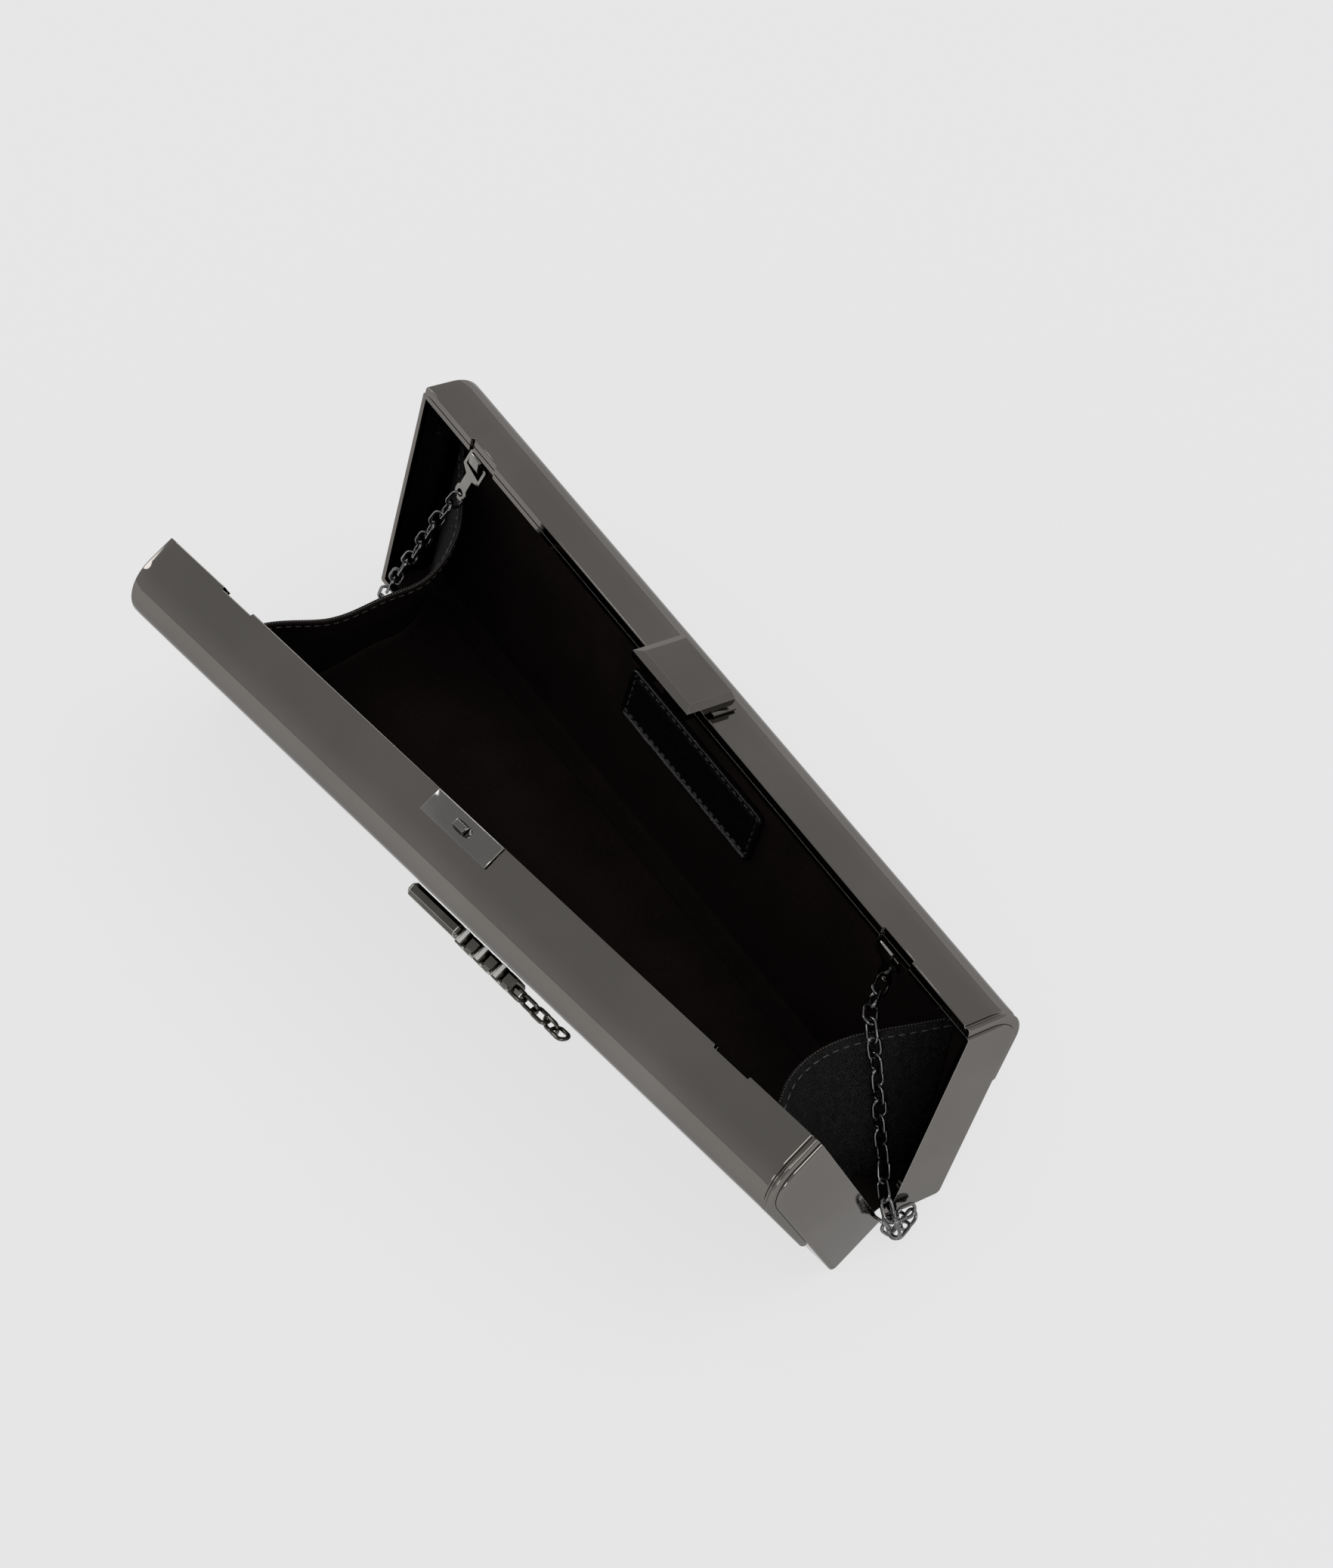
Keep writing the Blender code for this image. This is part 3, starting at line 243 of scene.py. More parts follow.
def mapNode(tree, value, low, high, toLow=0.0, toHigh=1.0):
    inputs = {"Value": value, "From Min": low, "From Max": high, "To Min": toLow, "To Max": toHigh}
    return addNode(tree, "ShaderNodeMapRange", inputs, interpolation_type="SMOOTHSTEP").outputs["Result"]


def mathNode(tree, operation, first, second):
    return addNode(tree, "ShaderNodeMath", {0: first, 1: second}, operation=operation).outputs["Value"]


def newTree(name, kind, inputs, outputs):
    # inputs are (label, socket type, value); it gives the tree, what comes in and what goes out
    tree = bpy.data.node_groups.new(name, kind)
    for label, socketType, value in inputs:
        socket = tree.interface.new_socket(label, in_out="INPUT", socket_type=socketType)
        if value is not None:
            socket.default_value = value
    for label, socketType in outputs:
        tree.interface.new_socket(label, in_out="OUTPUT", socket_type=socketType)
    return tree, tree.nodes.new("NodeGroupInput").outputs, tree.nodes.new("NodeGroupOutput").inputs


# Shader groups

def newShaderGroup(name, inputs, outputs):
    number = "NodeSocketFloat"
    return newTree(
        name, "ShaderNodeTree", [(label, number, value) for label, value in inputs.items()],
        [(label, number) for label in outputs],
    )


def makePlatingGroup():
    # handled plating: broad smudges, fine wiping marks and a faint orange peel
    tree, given, result = newShaderGroup(
        "plating", {"Smudge Scale": 30.0, "Wipe Scale": 700.0, "Low": 0.1, "High": 0.2},
        ("Roughness", "Stain", "Height"),
    )
    where = tree.nodes.new("ShaderNodeTexCoord").outputs["Object"]
    smudge = mapNode(tree, noiseNode(tree, where, given["Smudge Scale"], 5.0), 0.38, 0.68)
    stretched = addNode(tree, "ShaderNodeMapping", {"Vector": where, "Scale": (0.12, 1.0, 1.0)})
    wipe = mapNode(tree, noiseNode(tree, stretched.outputs["Vector"], given["Wipe Scale"], 3.0), 0.35, 0.75)
    broad, fine = mathNode(tree, "MULTIPLY", smudge, 0.7), mathNode(tree, "MULTIPLY", wipe, 0.3)
    span = mathNode(tree, "SUBTRACT", given["High"], given["Low"])
    mixed = mathNode(tree, "MULTIPLY", mathNode(tree, "ADD", broad, fine), span)
    peel = noiseNode(tree, where, 260.0, 2.0)
    feed(tree, result["Roughness"], mathNode(tree, "ADD", given["Low"], mixed))
    feed(tree, result["Stain"], smudge)
    feed(tree, result["Height"], mathNode(tree, "ADD", peel, mathNode(tree, "MULTIPLY", wipe, 0.15)))
    return tree


def makeGrainGroup():
    # leather: small pebbles, their creases, and a broader unevenness
    tree, given, result = newShaderGroup(
        "leatherGrain", {"Pebble Scale": 2600.0, "Fold Scale": 160.0}, ("Height", "Shade")
    )
    where = tree.nodes.new("ShaderNodeTexCoord").outputs["Object"]
    wobble = addNode(tree, "ShaderNodeTexNoise", {"Vector": where, "Scale": 900.0}).outputs["Color"]
    warp = addNode(
        tree, "ShaderNodeVectorMath", {0: wobble, 1: [0.0004] * 3, 2: where}, operation="MULTIPLY_ADD"
    )
    pebbles = addNode(
        tree, "ShaderNodeTexVoronoi", {"Vector": warp.outputs["Vector"], "Scale": given["Pebble Scale"]},
        feature="DISTANCE_TO_EDGE",
    )
    crease = mapNode(tree, pebbles.outputs["Distance"], 0.0, 0.22)
    folds = noiseNode(tree, where, given["Fold Scale"], 4.0)
    shade = mathNode(tree, "ADD", mathNode(tree, "MULTIPLY", crease, 0.6), folds)
    feed(tree, result["Height"], mathNode(tree, "ADD", mathNode(tree, "MULTIPLY", crease, 0.45), folds))
    feed(tree, result["Shade"], mathNode(tree, "MULTIPLY", shade, 0.7))
    return tree


def makeNapGroup():
    # suede: a short nap brushed this way and that, with lighter flecks
    tree, given, result = newShaderGroup(
        "suedeNap", {"Nap Scale": 4200.0, "Brush Scale": 90.0}, ("Height", "Shade")
    )
    where = tree.nodes.new("ShaderNodeTexCoord").outputs["Object"]
    nap = noiseNode(tree, where, given["Nap Scale"], 2.0)
    brushed = mathNode(tree, "MULTIPLY", nap, noiseNode(tree, where, given["Brush Scale"], 4.0))
    fleck = mapNode(tree, noiseNode(tree, where, 1500.0, 1.0), 0.66, 0.8)
    feed(tree, result["Height"], nap)
    feed(tree, result["Shade"], mathNode(tree, "ADD", mathNode(tree, "MULTIPLY", brushed, 1.4), fleck))
    return tree


platingGroup = makePlatingGroup()
grainGroup = makeGrainGroup()
napGroup = makeNapGroup()


# Materials

def makeSurface(name, group, groupInputs, look, shade, sockets):
    # a Principled material whose colour runs between two along the group's shade output
    material = bpy.data.materials.new(name)
    material.use_nodes = True
    tree = material.node_tree
    shader = tree.nodes["Principled BSDF"]
    pattern = addNode(tree, "ShaderNodeGroup", {}, node_tree=group)
    for label, value in groupInputs.items():
        pattern.inputs[label].default_value = value
    pattern = pattern.outputs
    first, second = ((*colour, 1.0) for colour in look["colours"])
    ends = {"A": first, "B": second, "Factor": pattern[shade]}
    mix = addNode(tree, "ShaderNodeMix", ends, data_type="RGBA")
    strength, distance = look["bump"]
    bump = {"Strength": strength, "Distance": distance, "Height": pattern["Height"]}
    if "Roughness" in pattern:
        rough = pattern["Roughness"]
    else:
        rough = mapNode(tree, pattern[shade], 0.2, 0.9, *look["rough"])
    linked = {
        "Base Color": mix.outputs["Result"], "Roughness": rough,
        "Normal": addNode(tree, "ShaderNodeBump", bump).outputs["Normal"],
    }
    for label, value in {**linked, **sockets}.items():
        feed(tree, shader.inputs[label], value)
    return material


# darker and lighter colour, roughness from and to, edge tint, size of the smudges, bump distance, metallic
finishes = {
    "gunmetal": ((0.200, 0.188, 0.176), (0.222, 0.208, 0.196), 0.035, 0.09, 0.6, 30.0, 0.000004, 1.0),
    "fittings": ((0.27, 0.26, 0.245), (0.32, 0.31, 0.29), 0.07, 0.16, 0.8, 120.0, 0.00001, 1.0),
    "chain": ((0.17, 0.17, 0.17), (0.23, 0.23, 0.23), 0.05, 0.12, 0.8, 160.0, 0.00001, 1.0),
    "ornament": ((0.11, 0.105, 0.095), (0.15, 0.145, 0.13), 0.04, 0.10, 0.8, 120.0, 0.00001, 1.0),
    "plate": ((0.225, 0.22, 0.215), (0.25, 0.245, 0.24), 0.05, 0.12, 0.7, 90.0, 0.000004, 1.0),
    # edge: a lighter metal laid on softened edges and small bits as a painted highlight
    "edge": ((0.44, 0.43, 0.41), (0.54, 0.53, 0.50), 0.08, 0.18, 1.0, 150.0, 0.000004, 1.0),
    "window": ((0.78, 0.78, 0.76), (0.86, 0.86, 0.84), 0.10, 0.20, 1.0, 150.0, 0.000004, 0.35),
}
peelStrength = 0.25


def makeMetal(name):
    dark, light, low, high, tint, smudge, peel, metallic = finishes[name]
    return makeSurface(
        name, platingGroup, {"Smudge Scale": smudge, "Low": low, "High": high},
        {"colours": (dark, light), "bump": (peelStrength, peel)}, "Stain",
        {"Metallic": metallic, "Specular Tint": (tint, tint, tint, 1.0)},
    )


metals = [makeMetal(name) for name in finishes]
gunmetal, fittingMetal, chainMetal, ornamentMetal, plateMetal, paintedHighlightMetal, windowMetal = metals
leather = makeSurface(
    "blackLeather", grainGroup, {"Pebble Scale": 2000.0},
    {
        "colours": ((0.0034, 0.0030, 0.0031), (0.0092, 0.0082, 0.0084)),
        "bump": (1.0, 0.00030), "rough": (0.28, 0.46),
    },
    "Shade", {"Specular IOR Level": 0.22},
)
labelLeather = makeSurface(
    "labelLeather", grainGroup, {"Pebble Scale": 3200.0, "Fold Scale": 420.0},
    {
        "colours": ((0.0018, 0.0015, 0.0016), (0.004, 0.0034, 0.0034)),
        "bump": (0.35, 0.0001), "rough": (0.16, 0.28),
    },
    "Shade", {"Specular IOR Level": 0.5},
)
suede = makeSurface(
    "blackSuede", napGroup, {},
    {
        "colours": ((0.0056, 0.0038, 0.0037), (0.0165, 0.0118, 0.0106)),
        "bump": (0.5, 0.00008), "rough": (0.85, 0.95),
    },
    "Shade", {"Specular IOR Level": 0.04},
)
# the black thread is lifted to dark grey so the stitches show as bright dots: a painted sheen
thread = makeSurface(
    "blackThreadPaintedSheen", napGroup, {"Nap Scale": 5000.0, "Brush Scale": 600.0},
    {
        "colours": ((0.04, 0.036, 0.035), (0.10, 0.092, 0.088)),
        "bump": (0.4, 0.00005), "rough": (0.3, 0.5),
    },
    "Shade", {"Specular IOR Level": 0.6},
)
print("materials made")


# Trays and covers

tray = {
    "length": 201.2 * mm, "height": 57.4 * mm, "depth": 14.5 * mm, "wall": 1.2 * mm,
    "topRadius": 7.5 * mm, "bottomRadius": 1.5 * mm, "endRadius": 0.7 * mm, "endSteps": 5,
    "mouthGap": 0.15 * mm, "pastMouth": 2.0 * mm, "arcSteps": 28, "edge": 0.12 * mm,
}
notch = {"x": 76.35 * mm, "width": 9.7 * mm, "depth": 0.8 * mm, "drop": 4.8 * mm, "rise": 2.0 * mm}
cover = {
    "length": 200.0 * mm, "thickness": 1.8 * mm, "gap": 0.3 * mm, "arcSteps": 28,
    "hemRadius": 1.2 * mm, "hemShare": 0.6,
    "bottoms": {"front": 22.5 * mm, "back": 36.5 * mm}, "mouthRadius": 0.25 * mm, "taper": 0.022,
    "endGap": 0.03 * mm, "closedWithin": 1.3 * mm, "notchCorner": 0.1 * mm,
    # how far in from the end, and how far the surface stands off the plain cover there, in mm
    # the bead and its groove are at the right end only
    "edge": ((0.00, -0.85), (0.02, -0.60), (0.10, -0.40), (0.22, -0.22), (0.40, -0.07), (0.60, 0.00)),
    "bead": (
        (0.80, -0.07), (0.98, -0.22), (1.10, -0.40), (1.18, -0.52), (1.45, -0.54),
        (1.56, -0.46), (1.64, -0.30), (1.74, -0.15), (1.88, -0.05), (2.10, 0.00),
    ),
    "plain": (3.00, 0.00),
}


def trayOutline(inset):
    # the tray's outline across the clutch, drawn in by an inset except at the mouth
    depth, height = tray["depth"] - inset, tray["height"] - inset
    return roundedOutline([
        (tray["mouthGap"], inset, 0),
        (depth, inset, tray["bottomRadius"] - inset),
        (depth, height, tray["topRadius"] - inset),
        (tray["mouthGap"], height, 0),
    ], tray["arcSteps"])


def makeTray(half):
    side = sides[half]
    wall = tray["wall"]
    end, radius = tray["length"] / 2, tray["endRadius"]
    stations = []
    for step in range(tray["endSteps"] + 1):
        angle = math.pi / 2 * step / tray["endSteps"]
        stations.append((radius * (1 - math.cos(angle)) - end, radius * (1 - math.sin(angle))))
    stations += [(-x, inset) for x, inset in reversed(stations)]
    piece = newPiece(loft([
        [Vector((x, side * u, v)) for u, v in trayOutline(inset)] for x, inset in stations
    ]), f"{half}Tray")
    inner = roundedOutline([
        (-tray["pastMouth"], wall, 0),
        (tray["depth"] - wall, wall, tray["bottomRadius"] / 2),
        (tray["depth"] - wall, tray["height"] - wall, tray["topRadius"] - wall),
        (-tray["pastMouth"], tray["height"] - wall, 0),
    ], tray["arcSteps"])
    tools = [loft([[Vector((x, side * u, v)) for u, v in inner] for x in (wall - end, end - wall)])]
    size = (notch["width"], 2 * notch["depth"], 2 * notch["drop"])
    for x in (leftEnd * notch["x"], rightEnd * notch["x"]):
        tools.append(block(size, (x, 0, tray["height"] + notch["rise"])))
    cutAway(piece, tools)
    # the bright edge metal on the softened rims is a painted highlight
    paint(piece, gunmetal, paintedHighlightMetal)
    softenEdges(piece, tray["edge"])
    piece.data.transform(halfFrames[half])
    finishPiece(piece, None, f"{half}_half", [f"{half}_tray"])


def coverSection(offset, mouth, bottom, gap):
    # the outer face leans in a little towards the hem
    outerFace = tray["depth"] + cover["gap"] + cover["thickness"] + offset
    outerTop = tray["height"] + cover["gap"] + cover["thickness"] + offset
    innerFace, innerTop = tray["depth"] + gap, tray["height"] + gap
    hem = outerFace - cover["taper"] * (outerTop - bottom)
    return roundedOutline([
        (mouth, innerTop, cover["mouthRadius"] / 3),
        (innerFace, innerTop, tray["topRadius"] + gap),
        (innerFace, bottom, cover["mouthRadius"] / 2),
        (hem, bottom, min(cover["hemRadius"], (hem - innerFace) * cover["hemShare"])),
        (outerFace, outerTop, outerTop - innerTop + tray["topRadius"] + gap),
        (mouth, outerTop, cover["mouthRadius"]),
    ], cover["arcSteps"])


def makeCover(half):
    side = sides[half]
    end = cover["length"] / 2
    gap = tray["mouthGap"]
    stations = [(-end + inset * mm, offset * mm, gap) for inset, offset in (*cover["edge"], cover["plain"])]
    near, far = notch["x"] - notch["width"] / 2, notch["x"] + notch["width"] / 2
    corner, deep = cover["notchCorner"], notch["depth"]
    stations += [(x, 0, mouth) for x, mouth in (
        (-far - corner, gap), (-far + corner, deep), (-near - corner, deep), (-near + corner, gap), (0, gap),
        (near - corner, gap), (near + corner, deep), (far - corner, deep), (far + corner, gap),
    )]
    beaded = reversed((*cover["edge"], *cover["bead"], cover["plain"]))
    stations += [(end - inset * mm, offset * mm, gap) for inset, offset in beaded]
    rings = []
    for x, offset, mouth in stations:
        inner = cover["gap"] if end - abs(x) > cover["closedWithin"] else cover["endGap"]
        section = coverSection(offset, mouth, cover["bottoms"][half], inner)
        rings.append([Vector((x, side * u, v)) for u, v in section])
    piece = newPiece(loft(rings), f"{half}Cover", halfFrames[half])
    smoothBelow(piece, 40)
    finishPiece(piece, gunmetal, f"{half}_half", [f"{half}_cover"])


for half in ("front", "back"):
    makeTray(half)
    makeCover(half)
print("trays and covers made")


# Small rigid parts keep the solid's shape and get softened edges

dressed = {"weld": 0.002 * mm, "flatDeg": 1, "edgeDeg": 30}


def dressedCopy(node, name, material, body, edge):
    mesh = frame["nodes"][node].data.copy()
    mesh.name = name
    edit = bmesh.new()
    edit.from_mesh(mesh)
    bmesh.ops.remove_doubles(edit, verts=edit.verts, dist=dressed["weld"])
    bmesh.ops.dissolve_limit(
        edit, angle_limit=math.radians(dressed["flatDeg"]), verts=edit.verts, edges=edit.edges,
        use_dissolve_boundaries=False,
    )
    edit.to_mesh(mesh)
    edit.free()
    piece = newObject(name, mesh)
    # the bright edge metal on the softened edges is a painted highlight
    paint(piece, material, paintedHighlightMetal)
    softenEdges(piece, edge, dressed["edgeDeg"])
    finishPiece(piece, None, body, [node])


for node, name, material, body, edge in (
    ("latch_base", "latchBase", gunmetal, "back_half", 0.06 * mm),
    ("catch_plate", "catchPlate", plateMetal, "front_half", 0.16 * mm),
    ("catch_stud", "catchStud", plateMetal, "front_half", 0.16 * mm),
    ("strap_clasp_left", "strapClaspLeft", fittingMetal, "strap_clasp_left", 0.16 * mm),
    ("strap_clasp_right", "strapClaspRight", fittingMetal, "strap_clasp_right", 0.16 * mm),
    ("strap_lug_left", "strapLugLeft", fittingMetal, "back_half", 0.08 * mm),
    # the right lug is wholly in the bright edge metal, a painted highlight where it sits in shade; the left lug
    # has the plain fittings metal
    ("strap_lug_right", "strapLugRight", paintedHighlightMetal, "back_half", 0.08 * mm),
):
    dressedCopy(node, name, material, body, edge)

for node in ("latch_pin", "latch_rivet_left", "latch_rivet_right", "latch_spring"):
    for materialSlot in frame["nodes"][node].material_slots:
        materialSlot.material = fittingMetal


# Latch tab: a thick plate, bevelled along its front and its ends, with slots for the ears and the spring

latchTab = {
    "length": 20.0 * mm, "front": -5.6 * mm, "back": 6.8 * mm, "rise": 1.2 * mm, "thickness": 2.6 * mm,
    "bevelRun": 1.7 * mm, "bevelDrop": 0.8 * mm, "edge": 0.28 * mm, "pinY": 5.6 * mm, "pinHeight": 1.05 * mm,
    "slots": ((-6.0 * mm, 1.6 * mm), (0.0, 4.8 * mm), (6.0 * mm, 1.6 * mm)), "slotDepth": 2.3 * mm,
    "slotStart": 4.2 * mm, "channel": (3.8 * mm, 1.3 * mm), "channelBack": -1.6 * mm, "bore": 0.65 * mm,
    "boreLength": 15.6 * mm, "boreSides": 20, "backRadius": 1.05 * mm, "backSteps": 8, "spare": 1.0 * mm,
}


def makeLatchTab():
    half, front, back = latchTab["length"] / 2, latchTab["front"], latchTab["back"]
    low = tray["height"] + cover["gap"] + cover["thickness"] + latchTab["rise"]
    high = low + latchTab["thickness"]
    run = latchTab["bevelRun"]
    rings = [
        [Vector((x, y, z)) for x, y in ((-wide, near), (wide, near), (wide, back), (-wide, back))]
        for wide, near, z in (
            (half, front, low), (half, front, high - latchTab["bevelDrop"]), (half - run, front + run, high),
        )
    ]
    piece = newPiece(loft(rings), "latchTab")
    tools = []
    for x, width in latchTab["slots"]:
        size = (width, 2 * (back - latchTab["slotStart"]), 2 * latchTab["slotDepth"])
        tools.append(block(size, (x, back, low)))
    length, height = latchTab["channel"]
    tools.append(block((length, 2 * (latchTab["channelBack"] - front), 2 * height), (0, front, low)))
    # the lower back edge is round, so that it clears the base as the tab lifts
    radius, spare = latchTab["backRadius"], latchTab["spare"]
    corner = []
    for step in range(latchTab["backSteps"] + 1):
        angle = math.pi / 2 * step / latchTab["backSteps"]
        corner.append((back - radius * (1 - math.cos(angle)), low + radius * (1 - math.sin(angle))))
    corner += [(back - radius, low - spare), (back + spare, low - spare), (back + spare, low + radius)]
    tools.append(loft([[Vector((x, y, z)) for y, z in corner] for x in (-half - spare, half + spare)]))
    bore = bmesh.new()
    pin = Matrix.Translation((0, latchTab["pinY"], low + latchTab["pinHeight"]))
    bmesh.ops.create_cone(
        bore, cap_ends=True, segments=latchTab["boreSides"], radius1=latchTab["bore"], radius2=latchTab["bore"],
        depth=latchTab["boreLength"], matrix=pin @ Matrix.Rotation(math.pi / 2, 4, "Y"),
    )
    cutAway(piece, [*tools, bore])
    # the bright edge metal on the softened edges is a painted highlight
    paint(piece, gunmetal, paintedHighlightMetal)
    softenEdges(piece, latchTab["edge"], 15)
    piece.data.transform(backFrame)
    finishPiece(piece, None, "latch_tab", ["latch_tab"])


makeLatchTab()
print("latch, catch and clasps dressed")


# Linings: three suede panels stuck in each tray, a bent one along it and one at each end

lining = {
    "thickness": 0.8 * mm, "gap": 0.3 * mm, "mouthInset": 1.2 * mm, "floorRadius": 1.6 * mm,
    "columns": 120, "arcSteps": 10, "step": 2.5 * mm, "edge": 0.25 * mm,
    "ripple": 0.05 * mm, "rippleScale": (45, 90),
}
pocket = {"width": 8.2 * mm, "depth": 7.3 * mm, "height": 1.6 * mm, "x": (-78.75 * mm, 73.95 * mm)}
liningWallY = tray["depth"] - tray["wall"] - lining["gap"] - lining["thickness"]
liningFloorZ = tray["wall"] + lining["gap"] + lining["thickness"]


def liningProfile():
    middle = tray["wall"] + lining["gap"] + lining["thickness"] / 2
    low, high = middle, tray["height"] - middle
    wall = tray["depth"] - middle
    outline = roundedOutline([
        (lining["mouthInset"], low, 0),
        (wall, low, lining["floorRadius"]),
        (wall, high, tray["topRadius"] - middle),
        (lining["mouthInset"], high, 0),
    ], lining["arcSteps"])
    profile = []
    for start, end in zip(outline, outline[1:]):
        pieces = max(1, round((end - start).length / lining["step"]))
        profile += [start.lerp(end, share / pieces) for share in range(pieces)]
    return profile + [outline[-1]]


def makeLining(half):
    side = sides[half]
    profile = liningProfile()
    reach = tray["length"] / 2 - tray["wall"] - lining["gap"] - lining["thickness"]
    along, across = lining["rippleScale"]
    rings = []
    for column in range(lining["columns"] + 1):
        x = reach * (2 * column / lining["columns"] - 1)
        ring = []
        for u, v in profile:
            ripple = noise.noise(Vector((x * along, u * across + side, v * across))) * lining["ripple"]
            ring.append(Vector((x, side * (u + ripple), v)))
        rings.append(ring)
    name = f"{half}Lining"
    piece = newPiece(loft(rings, closed=False, capped=False), name)
    thicken(piece, lining["thickness"], lining["edge"])
    edit = bmesh.new()
    edit.from_mesh(piece.data)
    for end in (leftEnd, rightEnd):
        x = end * (reach + lining["thickness"] / 2)
        face = edit.faces.new([edit.verts.new((x, side * u, v)) for u, v in profile])
        bmesh.ops.solidify(edit, geom=[face], thickness=lining["thickness"] * end * side)
    piece.data = meshFrom(edit, name)
    if half == "back":
        size = (pocket["width"], 2 * pocket["depth"], 2 * pocket["height"])
        cutAway(piece, [block(size, (x, 0, tray["height"] - tray["wall"])) for x in pocket["x"]])
    smoothBelow(piece, 45)
    piece.data.transform(halfFrames[half])
    finishPiece(piece, suede, f"{half}_half", [f"{half}_lining"])


for half in ("front", "back"):
    makeLining(half)
print("linings made")


# Geometry Nodes trees: one shape repeated at the points of a curve, turned along it

def newGeometryTree(name, inputs):
    body = ("Geometry", "NodeSocketGeometry")
    roll = [(label, "NodeSocketFloat", 0.0) for label in ("Twist", "Turn", "Lean")]
    rest = [("Seed", "NodeSocketInt", 1), ("Material", "NodeSocketMaterial", None)]
    return newTree(name, "GeometryNodeTree", [(*body, None), *inputs, *roll, *rest], [body])


def repeatAlong(tree, given, result, shape):
    # puts the shape, drawn along X, at each point of the curve; Twist, Turn and Lean roll it about the curve
    curve = {"Curve": given["Geometry"]}
    points = addNode(tree, "GeometryNodeCurveToPoints", curve, mode="EVALUATED").outputs
    axes = addNode(
        tree, "FunctionNodeAxesToRotation",
        {"Primary Axis": points["Tangent"], "Secondary Axis": points["Normal"]},
        primary_axis="X", secondary_axis="Z",
    )
    index = tree.nodes.new("GeometryNodeInputIndex").outputs["Index"]
    random = addNode(tree, "FunctionNodeRandomValue", {"Seed": given["Seed"]}, data_type="FLOAT")
    low, high = [socket for socket in random.inputs if socket.enabled and socket.name in ("Min", "Max")]
    low.default_value, high.default_value = -1.0, 1.0
    chance = next(socket for socket in random.outputs if socket.enabled)
    lean = mathNode(tree, "MULTIPLY", chance, given["Lean"])
    turn = mathNode(tree, "MULTIPLY", mathNode(tree, "MODULO", index, 2.0), given["Turn"])
    roll = mathNode(tree, "ADD", mathNode(tree, "ADD", turn, lean), given["Twist"])
    spin = addNode(tree, "FunctionNodeAxisAngleToRotation", {"Axis": (1.0, 0.0, 0.0), "Angle": roll})
    turns = {"Rotation": axes.outputs["Rotation"], "Rotate By": spin.outputs["Rotation"]}
    rotate = addNode(tree, "FunctionNodeRotateRotation", turns, rotation_space="LOCAL")
    made = addNode(
        tree, "GeometryNodeInstanceOnPoints",
        {"Points": points["Points"], "Instance": shape, "Rotation": rotate.outputs["Rotation"]},
    )
    for kind, inputs in (
        ("GeometryNodeRealizeInstances", {}), ("GeometryNodeSetShadeSmooth", {}),
        ("GeometryNodeSetMaterial", {"Material": given["Material"]}),
    ):
        made = addNode(tree, kind, {"Geometry": made.outputs[0], **inputs})
    feed(tree, result["Geometry"], made.outputs["Geometry"])


bendShare = 0.47  # of the link's width, for the radius of its bends


def makeLinkTree():
    tree, given, result = newGeometryTree("chainLinks", [
        ("Link Length", "NodeSocketFloat", 5.0 * mm), ("Link Width", "NodeSocketFloat", 3.6 * mm),
        ("Wire", "NodeSocketFloat", 0.7 * mm),
        ("Bend Steps", "NodeSocketInt", 5), ("Wire Sides", "NodeSocketInt", 8),
    ])
    long = mathNode(tree, "SUBTRACT", given["Link Length"], given["Wire"])
    wide = mathNode(tree, "SUBTRACT", given["Link Width"], given["Wire"])
    path = addNode(
        tree, "GeometryNodeCurvePrimitiveQuadrilateral", {"Width": long, "Height": wide}, mode="RECTANGLE"
    )
    fillet = addNode(tree, "GeometryNodeFilletCurve", {}, mode="POLY")
    for label, value in (
        ("Curve", path.outputs["Curve"]), ("Count", given["Bend Steps"]),
        ("Radius", mathNode(tree, "MULTIPLY", wide, bendShare)),
    ):
        feed(tree, fillet.inputs[label], value)
    wire = addNode(
        tree, "GeometryNodeCurvePrimitiveCircle",
        {"Radius": mathNode(tree, "DIVIDE", given["Wire"], 2.0), "Resolution": given["Wire Sides"]},
    )
    sweep = {"Curve": fillet.outputs["Curve"], "Profile Curve": wire.outputs["Curve"]}
    repeatAlong(tree, given, result, addNode(tree, "GeometryNodeCurveToMesh", sweep).outputs["Mesh"])
    return tree


def makeStitchTree():
    tree, given, result = newGeometryTree("stitches", [
        ("Stitch Length", "NodeSocketFloat", 1.7 * mm), ("Thread", "NodeSocketFloat", 0.3 * mm),
    ])
    bead = addNode(tree, "GeometryNodeMeshUVSphere", {"Segments": 8, "Rings": 6, "Radius": 0.5})
    sizes = {"X": given["Stitch Length"], "Y": given["Thread"], "Z": given["Thread"]}
    size = addNode(tree, "ShaderNodeCombineXYZ", sizes).outputs["Vector"]
    shape = addNode(tree, "GeometryNodeTransform", {"Geometry": bead.outputs["Mesh"], "Scale": size})
    repeatAlong(tree, given, result, shape.outputs["Geometry"])
    return tree


linkTree = makeLinkTree()
stitchTree = makeStitchTree()


def smoothPath(points, step):
    # points about a step apart along a smooth curve through the given ones
    points = [Vector(point) for point in points]
    padded = [points[0] * 2 - points[1], *points, points[-1] * 2 - points[-2]]
    path = []
    for index in range(1, len(padded) - 2):
        before, start, end, after = padded[index - 1:index + 3]
        count = max(1, round((end - start).length / step))
        for inner in range(count):
            t = inner / count
            bend = 2 * before - 5 * start + 4 * end - after
            twist = 3 * start - before - 3 * end + after
            path.append((2 * start + (end - before) * t + bend * t * t + twist * t * t * t) / 2)
    path.append(points[-1])
    return path


def evenly(path, pitch, first):
    # points a pitch apart along a path, the first of them a little way in
    points, wanted, walked = [], first, 0.0
    for start, end in zip(path, path[1:]):
        length = (end - start).length
        while wanted <= walked + length and length > 0:
            points.append(start.lerp(end, (wanted - walked) / length))
            wanted += pitch
        walked += length
    return points


